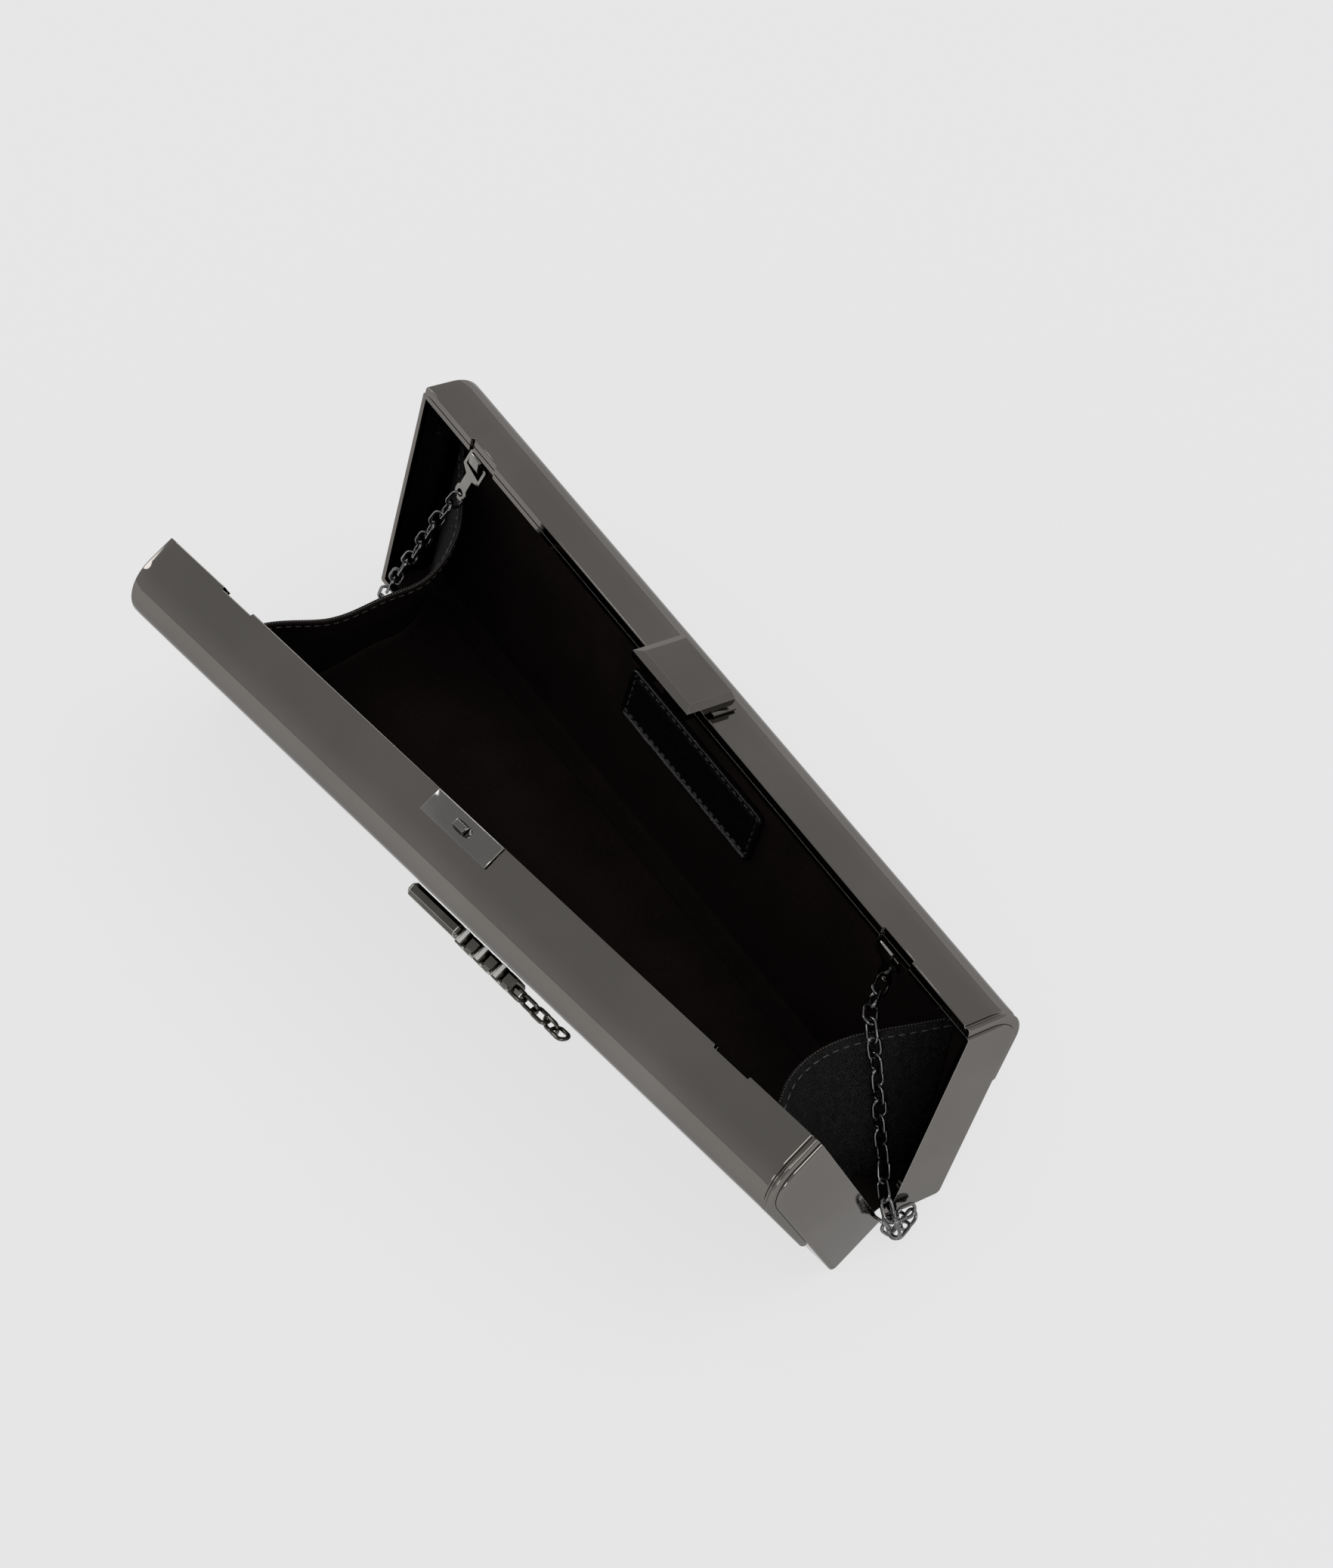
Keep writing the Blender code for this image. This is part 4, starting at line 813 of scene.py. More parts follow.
def placeAlong(name, tree, runs, settings, material, body, nodes, upright=False):
    # runs are lists of points; each becomes one spline, and the tree puts its shape at every point
    curve = bpy.data.curves.new(name, "CURVE")
    curve.dimensions = "3D"
    curve.twist_mode = "Z_UP" if upright else "MINIMUM"
    for run in runs:
        spline = curve.splines.new("POLY")
        spline.points.add(len(run) - 1)
        for target, point in zip(spline.points, run):
            target.co = (*point, 1)
    holder = newObject(name + "Path", curve)
    modifier = holder.modifiers.new(name, "NODES")
    modifier.node_group = tree
    given = {**settings, "Material": material}
    for item in tree.interface.items_tree:
        if item.in_out == "INPUT" and item.name in given:
            modifier[item.identifier] = given[item.name]
    edit = bmesh.new()
    edit.from_mesh(evaluatedMesh(holder))
    bpy.data.objects.remove(holder)
    piece = newPiece(edit, name)
    finishPiece(piece, material, body, nodes)
    return piece


# Label patch: a bare leather rectangle with a turned edge and one row of stitches

label = {
    "length": 49.0 * mm, "height": 14.0 * mm, "thickness": 1.0 * mm, "top": 38.5 * mm, "corner": 2.0 * mm,
    "leastCorner": 0.3 * mm, "cornerSteps": 8, "sideSteps": 48, "wrinkle": 0.09 * mm,
    "waves": (420, 1300, 900), "fineShare": 0.6,
    # inset from the outline in mm, and height over the lining; the stitched channel is a shallow valley
    "section": (
        (0.0, 0.0), (0.0, 0.45), (0.06, 0.8), (0.2, 1.1), (0.45, 1.25), (0.7, 1.22), (0.95, 1.0),
        (1.2, 0.72), (1.6, 0.62), (2.0, 0.72), (2.3, 0.86), (2.7, 0.92), (3.6, 0.88), (5.0, 0.84),
        (6.0, 0.84),
    ),
    "border": 1.6 * mm, "stitchPitch": 2.1 * mm, "stitchLength": 1.5 * mm, "thread": 0.30 * mm,
    "stitchRise": 0.72, "firstStitch": 0.2 * mm,
}


def labelOutline(inset):
    half = label["length"] / 2 - inset
    low, high = label["top"] - label["height"] + inset, label["top"] - inset
    radius, steps = max(label["corner"] - inset, label["leastCorner"]), label["cornerSteps"]
    corners = [(-half, low, radius), (half, low, radius), (half, high, radius), (-half, high, radius)]
    outline = roundedOutline(corners, steps)
    # the long sides are divided, so that they can wrinkle
    divided = []
    for index, start in enumerate(outline):
        stop = outline[(index + 1) % len(outline)]
        pieces = label["sideSteps"] if (index + 1) % (steps + 1) == 0 else 1
        divided += [start.lerp(stop, share / pieces) for share in range(pieces)]
    return divided


def makeLabel():
    wallY = liningWallY - lining["gap"]
    thickness = label["thickness"]
    wide, fineWide, fineTall = label["waves"]
    rings = []
    for inset, height in label["section"]:
        ring = []
        for u, v in labelOutline(inset * mm):
            wave = noise.noise(Vector((u * wide, v * wide, 5.0)))
            wave += label["fineShare"] * noise.noise(Vector((u * fineWide, v * fineTall, 8.0)))
            raised = height * thickness + label["wrinkle"] * wave * min(1, height)
            ring.append(Vector((u, wallY - raised, v)))
        rings.append(ring)
    piece = newPiece(loft(rings), "labelPatch", backFrame)
    smoothBelow(piece, 50)
    finishPiece(piece, labelLeather, "back_half", ["label_patch"])
    outline = labelOutline(label["border"])
    stitchY = wallY - label["stitchRise"] * thickness
    loop = [backFrame @ Vector((u, stitchY, v)) for u, v in [*outline, outline[0]]]
    length = sum((end - start).length for start, end in zip(loop, loop[1:]))
    count = round(length / label["stitchPitch"])
    placeAlong(
        "labelStitches", stitchTree, [evenly(loop, length / count, label["firstStitch"])],
        {"Stitch Length": label["stitchLength"], "Thread": label["thread"], "Seed": 3},
        thread, "back_half", (),
    )


makeLabel()
print("label made")


# Leather gussets: each column runs from the front lining, over both mouths, to the back lining

gusset = {
    "endInset": 4.6 * mm, "bottomInsets": (9.5 * mm, 1.4 * mm), "leather": 1.0 * mm, "mouthShare": 0.2,
    "flange": 6.0 * mm, "insideTilt": 0.35, "edge": 0.3 * mm, "bottomRows": 60, "bottomColumns": 40,
    "ripple": 0.12 * mm, "arch": 0.12, "columnShares": (0.0, 0.2, 0.35, 0.5, 0.65, 0.8, 1.0),
    "columns": 112, "rows": 44, "wrinkle": 0.20 * mm,
    "hem": 1.7 * mm, "stitchPitch": 2.3 * mm, "stitchLength": 1.75 * mm, "thread": 0.30 * mm,
    "whipPitch": 0.66 * mm, "whipLength": 0.5 * mm, "whipThread": 0.24 * mm, "whipLift": 0.05 * mm,
}
endGussets = {
    "gussetLeft": {
        "node": "gusset_left", "end": leftEnd, "inward": 24.5 * mm, "foot": 0.6,
        "inwardShares": (0.57, 0.74, 0.91, 0.98, 1.01, 0.74, -0.05),
        "topShares": (0.78, 0.77, 0.66, 0.64, 0.62, 0.63, 0.735),
    },
    "gussetRight": {
        "node": "gusset_right", "end": rightEnd, "inward": 18.4 * mm, "foot": 0.30,
        "inwardShares": (0.61, 0.79, 0.96, 1.01, 0.93, 0.73, 0.45),
        "topShares": (0.67, 0.66, 0.69, 0.695, 0.695, 0.71, 0.77),
    },
}


def across(x, height, share):
    # a point of the open clutch, at a share of the way from the front lining to the back lining
    reach = liningWallY - lining["gap"]
    mouth = gusset["mouthShare"]
    if share <= mouth:
        return turnAboutHinge(frontSide) @ Vector((x, -reach * (1 - share / mouth), height))
    if share >= 1 - mouth:
        return turnAboutHinge(backSide) @ Vector((x, reach * (1 - (1 - share) / mouth), height))
    front = turnAboutHinge(frontSide) @ Vector((x, 0, height))
    back = turnAboutHinge(backSide) @ Vector((x, 0, height))
    return front.lerp(back, (share - mouth) / (1 - 2 * mouth))


def alongShares(table, share):
    # a smooth curve through the table's values
    shares = gusset["columnShares"]
    last = len(shares) - 1
    index = next(number for number in range(last) if share <= shares[number + 1])
    start, end = shares[index], shares[index + 1]

    def slopeAt(number):
        before, after = max(number - 1, 0), min(number + 1, last)
        return (table[after] - table[before]) / (shares[after] - shares[before]) * (end - start)

    t = (share - start) / (end - start)
    return (
        (2 * t ** 3 - 3 * t ** 2 + 1) * table[index] + (t ** 3 - 2 * t ** 2 + t) * slopeAt(index)
        + (3 * t ** 2 - 2 * t ** 3) * table[index + 1] + (t ** 3 - t ** 2) * slopeAt(index + 1)
    )


def bottomHeight(x, share):
    flat = liningFloorZ + lining["gap"] + gusset["leather"] / 2
    mouth = gusset["mouthShare"]
    span = (share - mouth) / (1 - 2 * mouth)
    if not 0 < span < 1:
        return flat
    width = (across(x, flat, mouth) - across(x, flat, 1 - mouth)).length
    return flat + gusset["arch"] * width * math.sin(math.pi * span)


def gussetPoint(form, share, up):
    fold = form["inward"] * alongShares(form["inwardShares"], share)
    end = form["end"]
    x = end * (tray["length"] / 2 - gusset["endInset"] - fold * (form["foot"] + (1 - form["foot"]) * up))
    low = bottomHeight(x, share) + gusset["leather"] + lining["gap"]
    high = tray["height"] * alongShares(form["topShares"], share)
    return across(x, low + (high - low) * up, share)


def gussetNormal(form, share, up):
    step = 0.004
    sideways = gussetPoint(form, min(1, share + step), up) - gussetPoint(form, max(0, share - step), up)
    upwards = gussetPoint(form, share, min(1, up + step)) - gussetPoint(form, share, max(0, up - step))
    return sideways.cross(upwards).normalized() * form["end"]


def wrinkled(form, share, up):
    # soft upright folds that fade towards the hem and where the leather is glued down
    point = gussetPoint(form, share, up)
    free = max(0.0, math.sin(math.pi * share)) ** 0.6 * min(1.0, (1 - up) * 6) * min(1.0, up * 5)
    fold = noise.noise(Vector((share * 5, up * 2.2, form["end"] * 3.0)))
    fine = noise.noise(Vector((share * 16, up * 8, form["end"] * 7.0)))
    return point + gussetNormal(form, share, up) * gusset["wrinkle"] * free * (1.5 * fold + 0.5 * fine)


def bendAcross(piece):
    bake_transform(piece)


def makeSheet(name, rings, node, inward):
    piece = newPiece(loft(rings, closed=False, capped=False), name)
    thicken(piece, gusset["leather"], gusset["edge"])
    smoothBelow(piece, 60)
    piece.data.transform(openFrame)
    finishPiece(piece, leather, None, [node])
    # the side that faces into the clutch is lined as the trays are
    piece.data.materials.append(suede)
    for face in piece.data.polygons:
        if face.normal.dot(inward) > gusset["insideTilt"]:
            face.material_index = 1
    bendAcross(piece)


def makeEndGusset(name):
    form = endGussets[name]
    rows, columns = gusset["rows"], gusset["columns"]
    rings = []
    for row in range(rows + 1):
        rings.append([wrinkled(form, column / columns, row / rows) for column in range(columns + 1)])
    makeSheet(name, rings, form["node"], Vector((-form["end"], 0, 0)))
    top = (openFrame @ gussetPoint(form, 0.5, 1) - openFrame @ gussetPoint(form, 0.5, 0.9)).normalized()
    # two rows of thread: one over the turned edge, and one along the hem on both faces
    whip = (gusset["whipPitch"], gusset["whipLength"], gusset["whipThread"])
    stitch = (gusset["stitchPitch"], gusset["stitchLength"], gusset["thread"])
    for row, drop, lifts, rise, (pitch, length, width) in (
        ("Edge", 0.0, (0,), gusset["whipLift"], whip), ("Hem", gusset["hem"], (-0.5, 0.5), 0.0, stitch),
    ):
        runs = []
        for lift in lifts:
            line = []
            for column in range(2, columns - 1):
                share = column / columns
                tall = (gussetPoint(form, share, 1) - gussetPoint(form, share, 0)).length
                up = 1 - drop / tall
                raised = gussetNormal(form, share, up) * lift * gusset["leather"]
                line.append(openFrame @ (wrinkled(form, share, up) + raised) + top * rise)
            runs.append(evenly(line, pitch, pitch / 2))
        bendAcross(placeAlong(
            name + row + "Stitches", stitchTree, runs,
            {"Stitch Length": length, "Thread": width, "Seed": 5}, thread, None, (),
        ))


def makeBottomGusset():
    flangeShare = gusset["mouthShare"] * (1 - gusset["flange"] / liningWallY)
    leftX = gusset["bottomInsets"][0] - tray["length"] / 2
    rightX = tray["length"] / 2 - gusset["bottomInsets"][1]
    rows, columns = gusset["bottomRows"], gusset["bottomColumns"]
    rings = []
    for row in range(rows + 1):
        x = leftX + (rightX - leftX) * row / rows
        ring = []
        for column in range(columns + 1):
            share = flangeShare + (1 - 2 * flangeShare) * column / columns
            wave = noise.noise(Vector((x * 80, share * 5, 2.0))) * math.sin(math.pi * share)
            ring.append(across(x, bottomHeight(x, share) + gusset["ripple"] * wave, share))
        rings.append(ring)
    makeSheet("gussetBottom", rings, "gusset_bottom", Vector((0, 0, 1)))


for name in endGussets:
    makeEndGusset(name)
makeBottomGusset()
print("gussets made")


# Chain strap: a run of links from each clasp, and the rest put away to and fro beneath the clutch

strap = {
    "xShift": -2.4 * mm, "lugStrip": 0.5 * mm, "loopHeight": 2.2 * mm, "loopY": 1.9 * mm,
    "eyeDrop": 0.195 * 57.4 * mm, "eyeHole": 1.0 * mm, "chainWidth": 3.2 * mm, "clearance": 0.1 * mm,
    "tiltDeg": {"left": 13.6, "right": 5.0}, "swingDeg": {"left": -4.0, "right": 18.0},
    "followDrop": 3.0 * mm,
}
link = {"Link Length": 5.6 * mm, "Link Width": 3.7 * mm, "Wire": 0.78 * mm}
linkPitch = link["Link Length"] - 2 * link["Wire"]
hank = {
    "rows": 5, "chainWidth": 2.8 * mm, "spare": 0.3 * mm, "leftInset": 18.6 * mm, "turnSteps": 6,
    "step": 5.0 * mm, "sway": 0.25 * mm,
}
# hanging: in from the tray's end, out from the mating plane, share of the tray's height
# under the clutch: in from the tray's end, share of the room to the side
leftHanging = (
    (15.6, -1.0, 0.5575), (12.8, -1.8, 0.3833), (10.1, -2.5, 0.2439),
    (7.9, -2.8, 0.1216), (6.6, -2.8, 0.0500), (5.9, -2.9, -0.0087),
)
leftUnder = ((7.4, 0.75), (10.6, 0.78), (14.0, 0.92))
rightOverGusset = (
    (23.1, 14.5, 0.6969), (18.2, 10.3, 0.7143), (15.3, 9.2, 0.6010), (12.0, 7.6, 0.4355),
    (9.2, 6.2, 0.2613), (6.2, 4.8, 0.1568), (2.6, 1.6, 0.1359), (-0.4, 0.0, 0.1185),
    (-3.2, -0.8, 0.0650), (-4.9, -0.9, 0.0200),
)
rightUnder = ((4.6, -0.70), (15.6, -0.80), (30.6, -0.90))
# a few links heaped at the right corner, from the clutch's middle, in mm
heap = (
    ((102.6, -2.2, 8.4), (103.2, -0.8, 5.4)), ((104.0, 1.4, 2.6), (103.2, 4.4, 2.3)),
    ((102.2, 1.4, 5.6), (102.4, 4.4, 4.4)),
)
chainFloorZ = strap["chainWidth"] / 2 + strap["clearance"]
halfOpen = math.radians(hinge["openDeg"]) / 2
footLeft = backFrame @ Vector((-tray["length"] / 2, tray["depth"], 0))
footRight = backFrame @ Vector((tray["length"] / 2, tray["depth"], 0))
feetSpread = (footLeft.y - footRight.y) / (footRight.x - footLeft.x)
chainHeight = chainFloorZ + (strap["chainWidth"] / 2 + hank["spare"]) / math.cos(halfOpen)
footToChain = (chainHeight - footRight.z) / math.tan(halfOpen)
middleX = openFrame.translation.x
hankLeftX = middleX - (tray["length"] / 2 - hank["leftInset"])
hankRightSide = (hank["rows"] - 1) / 2 * (hank["chainWidth"] + hank["spare"])
hankRightX = footRight.x - (hankRightSide + footToChain - footRight.y) / feetSpread


def hanging(end, place, route):
    return [
        place @ Vector((end * (tray["length"] / 2 - inset * mm), y * mm, share * tray["height"]))
        for inset, y, share in route
    ]


def roomUnder(x):
    # how far a chain under the clutch can lie from its middle
    return footRight.y + (footRight.x - x) * feetSpread - footToChain


def lying(end, route):
    places = [(middleX + end * (tray["length"] / 2 - inset * mm), share) for inset, share in route]
    return [Vector((x, share * roomUnder(x), chainFloorZ)) for x, share in places]


def eyePoint(endName, end):
    pivot = Vector((
        end * notch["x"] + strap["xShift"], strap["loopY"],
        tray["height"] - tray["wall"] - lining["gap"] - strap["lugStrip"] - strap["loopHeight"] / 2,
    ))
    swing = Matrix.Rotation(math.radians(strap["swingDeg"][endName]), 4, "X")
    tilt = Matrix.Rotation(math.radians(strap["tiltDeg"][endName]), 4, "Y")
    return backFrame @ (pivot + swing @ tilt @ Vector((0, 0, -strap["eyeDrop"] - strap["eyeHole"])))


def floored(points):
    return [Vector((point.x, point.y, max(point.z, chainFloorZ))) for point in points]


def hankAside(end, row):
    # the rows fan out to the left, where the clutch stands wider
    side = roomUnder(hankLeftX) if end == leftEnd else hankRightSide
    return side * (1 - 2 * row / (hank["rows"] - 1))


def hankX(end):
    return hankLeftX if end == leftEnd else hankRightX


def hankEnd(end, row):
    x = hankX(end) + end * (hank["spare"] + strap["chainWidth"] / 4)
    return Vector((x, hankAside(end, row), chainFloorZ))


def hankPath():
    z = hank["chainWidth"] / 2 + strap["clearance"]
    corners = [(hankX(leftEnd), hankAside(leftEnd, 0))]
    for row in range(hank["rows"] - 1):
        end = rightEnd if row % 2 == 0 else leftEnd
        start, stop = hankAside(end, row), hankAside(end, row + 1)
        for step in range(hank["turnSteps"] + 1):
            angle = math.pi * step / hank["turnSteps"]
            x = hankX(end) + end * (start - stop) / 2 * math.sin(angle)
            corners.append((x, (start + stop) / 2 + (start - stop) / 2 * math.cos(angle)))
    corners.append((hankX(rightEnd), hankAside(rightEnd, hank["rows"] - 1)))
    path = []
    for index, (start, end) in enumerate(zip(corners, corners[1:])):
        start, end = Vector((*start, z)), Vector((*end, z))
        count = max(1, round((end - start).length / hank["step"]))
        for inner in range(count):
            sway = hank["sway"] * noise.noise(Vector((index * 3.1, inner * 0.7, 1.5)))
            sway *= math.sin(math.pi * inner / count)
            path.append(start.lerp(end, inner / count) + Vector((0, sway, 0)))
    path.append(Vector((*corners[-1], z)))
    return path


# the right end turns back beneath the clutch, so it is two runs and the heap
routes = {
    "left": [[
        eyePoint("left", leftEnd), *hanging(leftEnd, backFrame, leftHanging), *lying(leftEnd, leftUnder),
        hankEnd(leftEnd, 0),
    ]],
    "right": [
        [eyePoint("right", rightEnd), *hanging(rightEnd, openFrame, rightOverGusset)],
        [*lying(rightEnd, rightUnder), hankEnd(rightEnd, hank["rows"] - 1)],
    ],
}
heaped = [[Vector((x * mm + middleX, y * mm, z * mm)) for x, y, z in run] for run in heap]
twists = {"left": 0.3, "right": 0.3 + math.pi / 4}

for name, route in routes.items():
    runs = [evenly(floored(smoothPath(run, 0.8 * mm)), linkPitch, linkPitch / 2) for run in route]
    piece = placeAlong(
        "strapChain" + name.capitalize(), linkTree, runs + (heaped if name == "right" else []),
        {
            **link, "Bend Steps": 6, "Wire Sides": 10, "Seed": 4,
            "Twist": twists[name], "Turn": math.pi / 2, "Lean": 0.2,
        },
        chainMetal, None, [f"strap_chain_{name}"],
    )
    # the clasp's eye and a point below it are worked out, but nothing makes the first links follow the clasp
    eye, below = route[0][0], route[0][2].copy()
    below.z = min(below.z, eye.z - strap["followDrop"])
    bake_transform(piece)
placeAlong(
    "strapChainHank", linkTree, [evenly(hankPath(), linkPitch, 0)],
    {
        **link, "Bend Steps": 3, "Wire Sides": 5, "Seed": 9,
        "Twist": math.pi / 4, "Turn": math.pi / 2, "Lean": 0.1,
    },
    chainMetal, "back_half", ["strap_chain_hank"], upright=True,
)
print("chain strap made")


# The ornament: a bar, then three units of a collar with a bright window, a dark cut stone and four prongs

ornament = {
    "z": 34.0 * mm, "height": 7.0 * mm, "sink": 0.55 * mm, "edge": 0.08 * mm,
    "barX": -11.5 * mm, "bar": 16.0 * mm, "barDepth": 2.7 * mm, "barCut": 0.9 * mm,
    "x": 5.0 * mm, "pitch": 5.7 * mm, "collar": 1.9 * mm, "depth": 3.1 * mm, "collarEdge": 0.3 * mm,
    "windowInset": 0.45 * mm, "windowRise": 0.1 * mm, "stoneGap": 0.15 * mm, "stone": 3.2 * mm,
    "stoneDepth": 2.8 * mm, "stoneHeight": 6.2 * mm, "stoneCut": 0.6 * mm, "prong": 0.36 * mm,
}
frontFace = -(tray["depth"] + cover["gap"] + cover["thickness"])
ornamentFace = frontFace - cover["gap"]


def joined(parts):
    # several edits in one, each with its own material index
    whole = bmesh.new()
    for edit, materialIndex in parts:
        for face in edit.faces:
            face.material_index = materialIndex
        mesh = bpy.data.meshes.new("part")
        edit.to_mesh(mesh)
        edit.free()
        whole.from_mesh(mesh)
        bpy.data.meshes.remove(mesh)
    return whole


def ornamentBlock(length, height, depth, x, cut, segments=1):
    # a block with cut edges on the front cover, its back sunk to the leaning face
    reach = depth + ornament["sink"]
    edit = block((length, reach, height), (x, ornamentFace + ornament["sink"] - reach / 2, ornament["z"]))
    bmesh.ops.bevel(edit, geom=edit.edges[:], offset=cut, segments=segments, profile=0.5, affect="EDGES")
    return edit


def makeOrnamentBar():
    x = ornament["barX"] + ornament["bar"] / 2
    edit = ornamentBlock(ornament["bar"], ornament["height"], ornament["barDepth"], x, ornament["barCut"])
    piece = newPiece(edit, "ornamentBar", frontFrame)
    # the bright edge metal on the softened edges is a painted highlight
    paint(piece, ornamentMetal, paintedHighlightMetal)
    softenEdges(piece, ornament["edge"], 20)
    finishPiece(piece, None, "front_half", ["ornament_bar"])


def makeOrnamentBlock(number):
    x = ornament["x"] + ornament["pitch"] * (number - 1)
    depth, height = ornament["depth"], ornament["height"]
    collar, stone, stoneHeight = ornament["collar"], ornament["stone"], ornament["stoneHeight"]
    inset, rise = ornament["windowInset"], ornament["windowRise"]
    collarX = x + collar / 2
    stoneX = x + collar + ornament["stoneGap"] + stone / 2
    parts = [
        (ornamentBlock(collar, height, depth, collarX, ornament["collarEdge"], 2), 0),
        (ornamentBlock(collar - 2 * inset, height + 2 * rise, depth - inset, collarX, rise), 1),
        (ornamentBlock(stone, stoneHeight, ornament["stoneDepth"], stoneX, ornament["stoneCut"]), 2),
    ]
    radius = ornament["prong"]
    for along in (-1, 1):
        for side in (-1, 1):
            bead = bmesh.new()
            bmesh.ops.create_uvsphere(bead, u_segments=12, v_segments=8, radius=radius)
            place = (
                stoneX + along * (stone / 2 - radius), ornamentFace - depth + radius,
                ornament["z"] + side * (stoneHeight / 2 - radius / 2),
            )
            bmesh.ops.translate(bead, vec=place, verts=bead.verts)
            parts.append((bead, 3))
    piece = newPiece(joined(parts), f"ornamentBlock{number}", frontFrame)
    # the prongs are in the bright edge metal, as painted glints
    paint(piece, ornamentMetal, windowMetal, ornamentMetal, paintedHighlightMetal)
    smoothBelow(piece, 35)
    finishPiece(piece, None, "front_half", [f"ornament_block_{number}"])


makeOrnamentBar()
for number in (1, 2, 3):
    makeOrnamentBlock(number)


# The ornament's swag of chain

swag = {
    "length": 14.5 * mm, "sag": 2.0 * mm, "startX": 21.6 * mm, "z": 34.0 * mm, "standOff": 2.0 * mm,
    "steps": 40, "firstLink": 0.5 * mm,
}
swagLink = {"Link Length": 5.2 * mm, "Link Width": 3.5 * mm, "Wire": 0.92 * mm}


def makeSwag():
    y = frontFace - swag["standOff"]
    pitch = swagLink["Link Length"] - 2 * swagLink["Wire"]
    path = []
    for index in range(swag["steps"] + 1):
        share = index / swag["steps"]
        sag = 4 * swag["sag"] * share * (1 - share)
        path.append(frontFrame @ Vector((swag["startX"] + swag["length"] * share, y, swag["z"] - sag)))
    placeAlong(
        "ornamentSwag", linkTree, [evenly(path, pitch, swag["firstLink"])],
        {
            **swagLink, "Bend Steps": 6, "Wire Sides": 10, "Twist": 0.4 + math.pi / 4, "Turn": math.pi / 2,
            "Lean": 0.1, "Seed": 2,
        },
        ornamentMetal, "front_half", ["ornament_swag"],
    )


makeSwag()
print("ornament made")


# Stage, light and camera

studio = {
    "background": 0.7991, "skyTop": 0.42, "skyHorizon": 0.52, "ambient": 0.86, "sunStrength": 0.5,
    "sunAngleDeg": 38, "floorGlow": 0.88, "floorGlowMirrored": 0.95, "skirt": (0.045, 0.34),
    # small soft boxes that only polished metal mirrors: direction, half its width in degrees, strength
    "softBoxes": (
        ((0.50, -0.25, 0.83), 8, 5.0), ((0.85, 0.25, 0.46), 8, 5.0), ((-0.80, -0.35, 0.50), 9, 4.0),
        ((-0.62, 0.55, 0.56), 6, 5.0), ((0.55, -0.78, 0.30), 7, 5.0),
    ),
    "boxFadeDeg": 1.5, "sunFrom": (0.30, 0.55, 0.80), "floorSize": 6.0,
    "cameraFromHinge": (0.217658, -0.206973, 0.593597), "cameraTurnDeg": (34.5143, 1.4647, 51.9409),
    "lens": 73.85, "sensorWidth": 36.0, "clip": (0.01, 50.0),
}


def makeFloor():
    edit = bmesh.new()
    bmesh.ops.create_grid(edit, x_segments=1, y_segments=1, size=studio["floorSize"])
    floor = newPiece(edit, "floor")
    material = bpy.data.materials.new("paleFloor")
    material.use_nodes = True
    tree = material.node_tree
    shader = tree.nodes["Principled BSDF"]
    pale = (*[studio["background"]] * 3, 1.0)
    for label, value in (("Base Color", pale), ("Roughness", 0.9), ("Specular IOR Level", 0.0)):
        shader.inputs[label].default_value = value
    # the camera and the metal see the floor partly as its plain colour, which keeps the shadow light
    plain = addNode(tree, "ShaderNodeEmission", {"Color": pale})
    rays = tree.nodes.new("ShaderNodeLightPath").outputs
    seen = mathNode(tree, "MAXIMUM", rays["Is Camera Ray"], rays["Is Transmission Ray"])
    seen = mathNode(tree, "MULTIPLY", seen, studio["floorGlow"])
    mirrored = mathNode(tree, "MULTIPLY", rays["Is Glossy Ray"], studio["floorGlowMirrored"])
    mix = addNode(tree, "ShaderNodeMixShader", {
        0: mathNode(tree, "MAXIMUM", seen, mirrored),
        1: shader.outputs["BSDF"], 2: plain.outputs["Emission"],
    })
    feed(tree, tree.nodes["Material Output"].inputs["Surface"], mix.outputs["Shader"])
    floor.data.materials.append(material)


def mixNumbers(tree, factor, first, second):
    inputs = {"A": first, "B": second, "Factor": factor}
    return addNode(tree, "ShaderNodeMix", inputs, data_type="FLOAT").outputs["Result"]


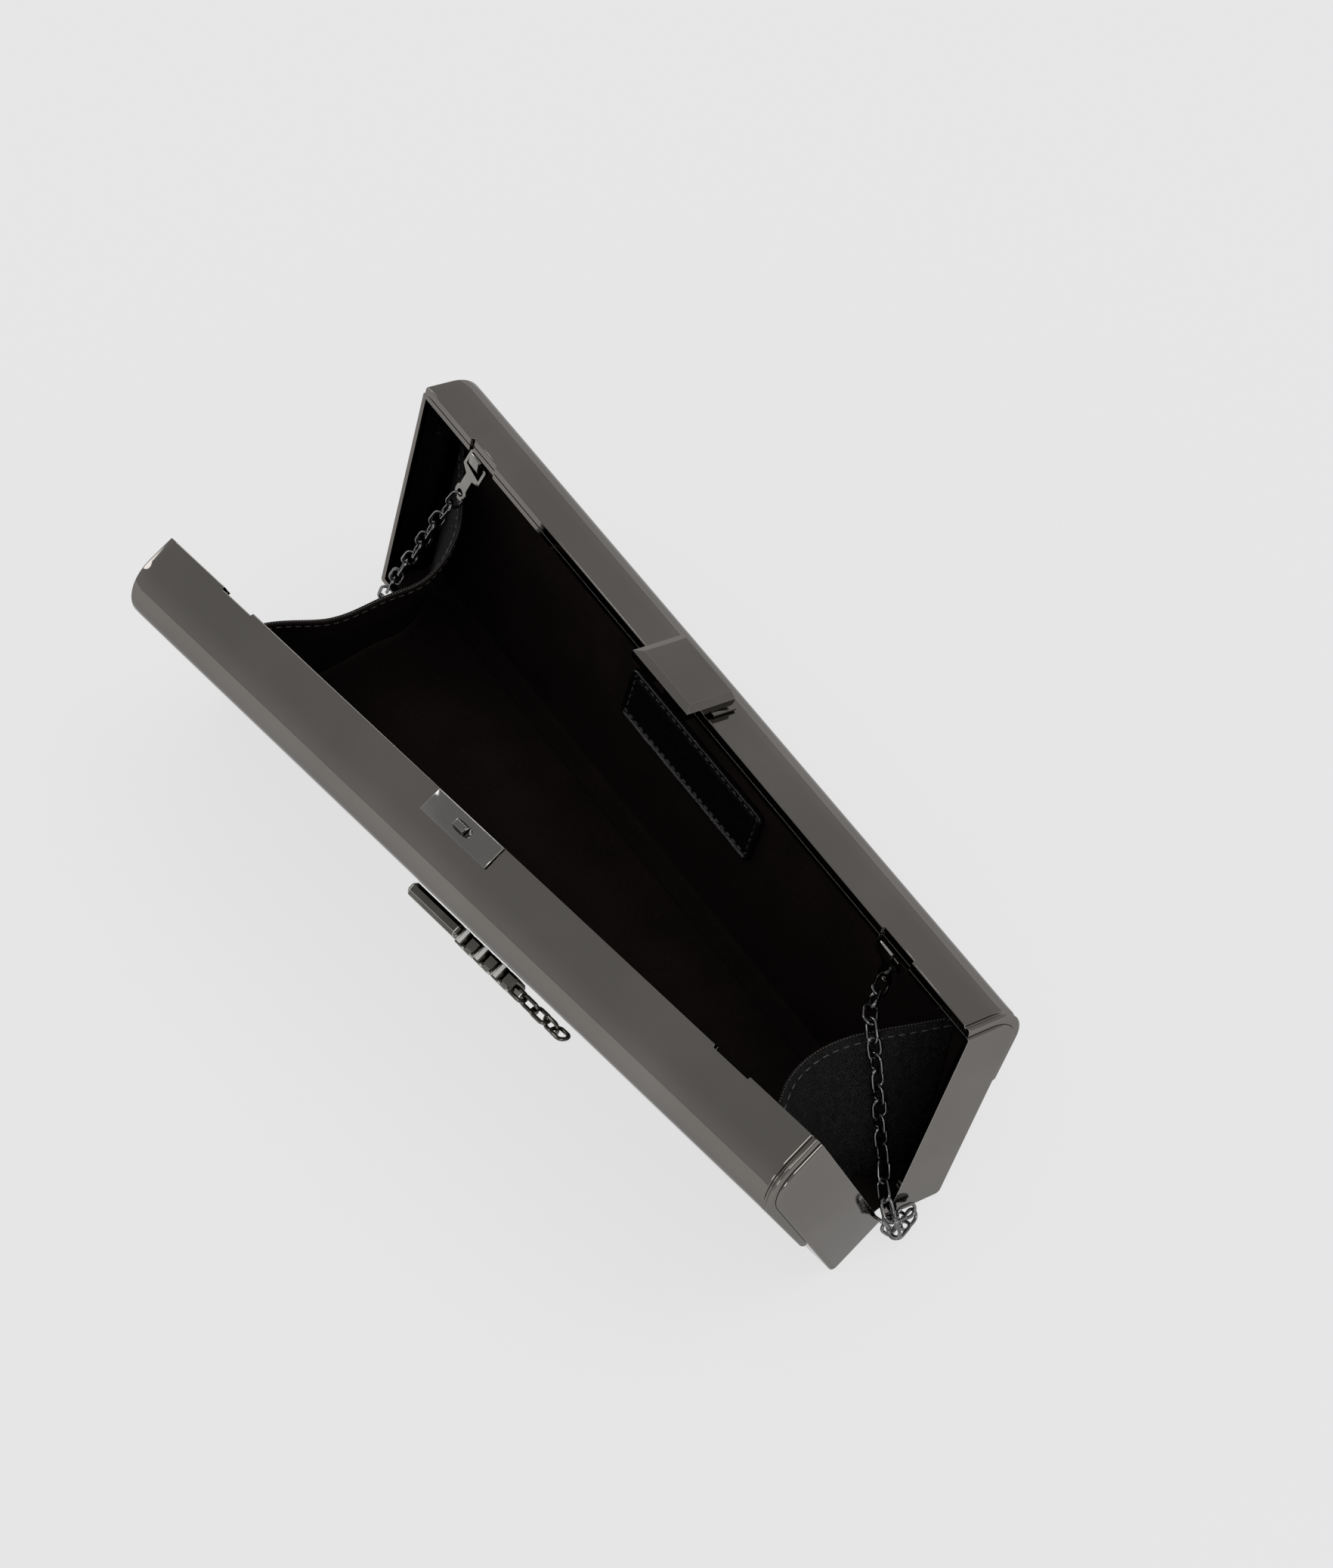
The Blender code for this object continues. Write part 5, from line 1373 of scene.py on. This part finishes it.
def makeSky():
    world = bpy.data.worlds.new("studio")
    bpy.context.scene.world = world
    world.use_nodes = True
    tree = world.node_tree
    tree.nodes.clear()
    where = tree.nodes.new("ShaderNodeTexCoord").outputs["Generated"]
    up = addNode(tree, "ShaderNodeSeparateXYZ", {"Vector": where}).outputs["Z"]
    light = mapNode(tree, up, 0.0, 0.9, studio["skyHorizon"], studio["skyTop"])
    # a darker skirt where the wall meets the floor
    skirtTop, skirtTone = studio["skirt"]
    light = mathNode(tree, "MINIMUM", light, mapNode(tree, up, 0.0, skirtTop, skirtTone, 1.0))
    for direction, halfWidthDeg, strength in studio["softBoxes"]:
        vectors = {0: where, 1: Vector(direction).normalized()}
        facing = addNode(tree, "ShaderNodeVectorMath", vectors, operation="DOT_PRODUCT")
        inside = math.cos(math.radians(halfWidthDeg))
        outside = math.cos(math.radians(halfWidthDeg + studio["boxFadeDeg"]))
        box = mapNode(tree, facing.outputs["Value"], outside, inside, 0.0, strength)
        light = mathNode(tree, "MAXIMUM", light, box)
    rays = tree.nodes.new("ShaderNodeLightPath").outputs
    seen = mathNode(tree, "MAXIMUM", rays["Is Camera Ray"], rays["Is Transmission Ray"])
    mirrored = mixNumbers(tree, rays["Is Glossy Ray"], studio["ambient"], light)
    shown = mixNumbers(tree, seen, mirrored, studio["background"])
    background = addNode(tree, "ShaderNodeBackground", {"Color": shown})
    addNode(tree, "ShaderNodeOutputWorld", {"Surface": background.outputs["Background"]})


def makeSun():
    lamp = bpy.data.lights.new("keyLight", "SUN")
    lamp.energy = studio["sunStrength"]
    lamp.angle = math.radians(studio["sunAngleDeg"])
    sun = newObject("keyLight", lamp)
    sun.visible_glossy = False  # the metal mirrors only the soft boxes
    sun.rotation_mode = "QUATERNION"
    sun.rotation_quaternion = Vector(studio["sunFrom"]).to_track_quat("Z", "Y")


def makeCamera():
    camera = bpy.data.cameras.new("camera")
    camera.sensor_width = studio["sensorWidth"]
    camera.lens = studio["lens"]
    camera.clip_start, camera.clip_end = studio["clip"]
    holder = newObject("camera", camera)
    holder.location = Vector(openingJoint["pos_m"]) + Vector(studio["cameraFromHinge"])
    holder.rotation_euler = [math.radians(angle) for angle in studio["cameraTurnDeg"]]
    bpy.context.scene.camera = holder


makeFloor()
makeSky()
makeSun()
makeCamera()
bpy.context.scene.view_settings.view_transform = "Standard"

print("scene ready")
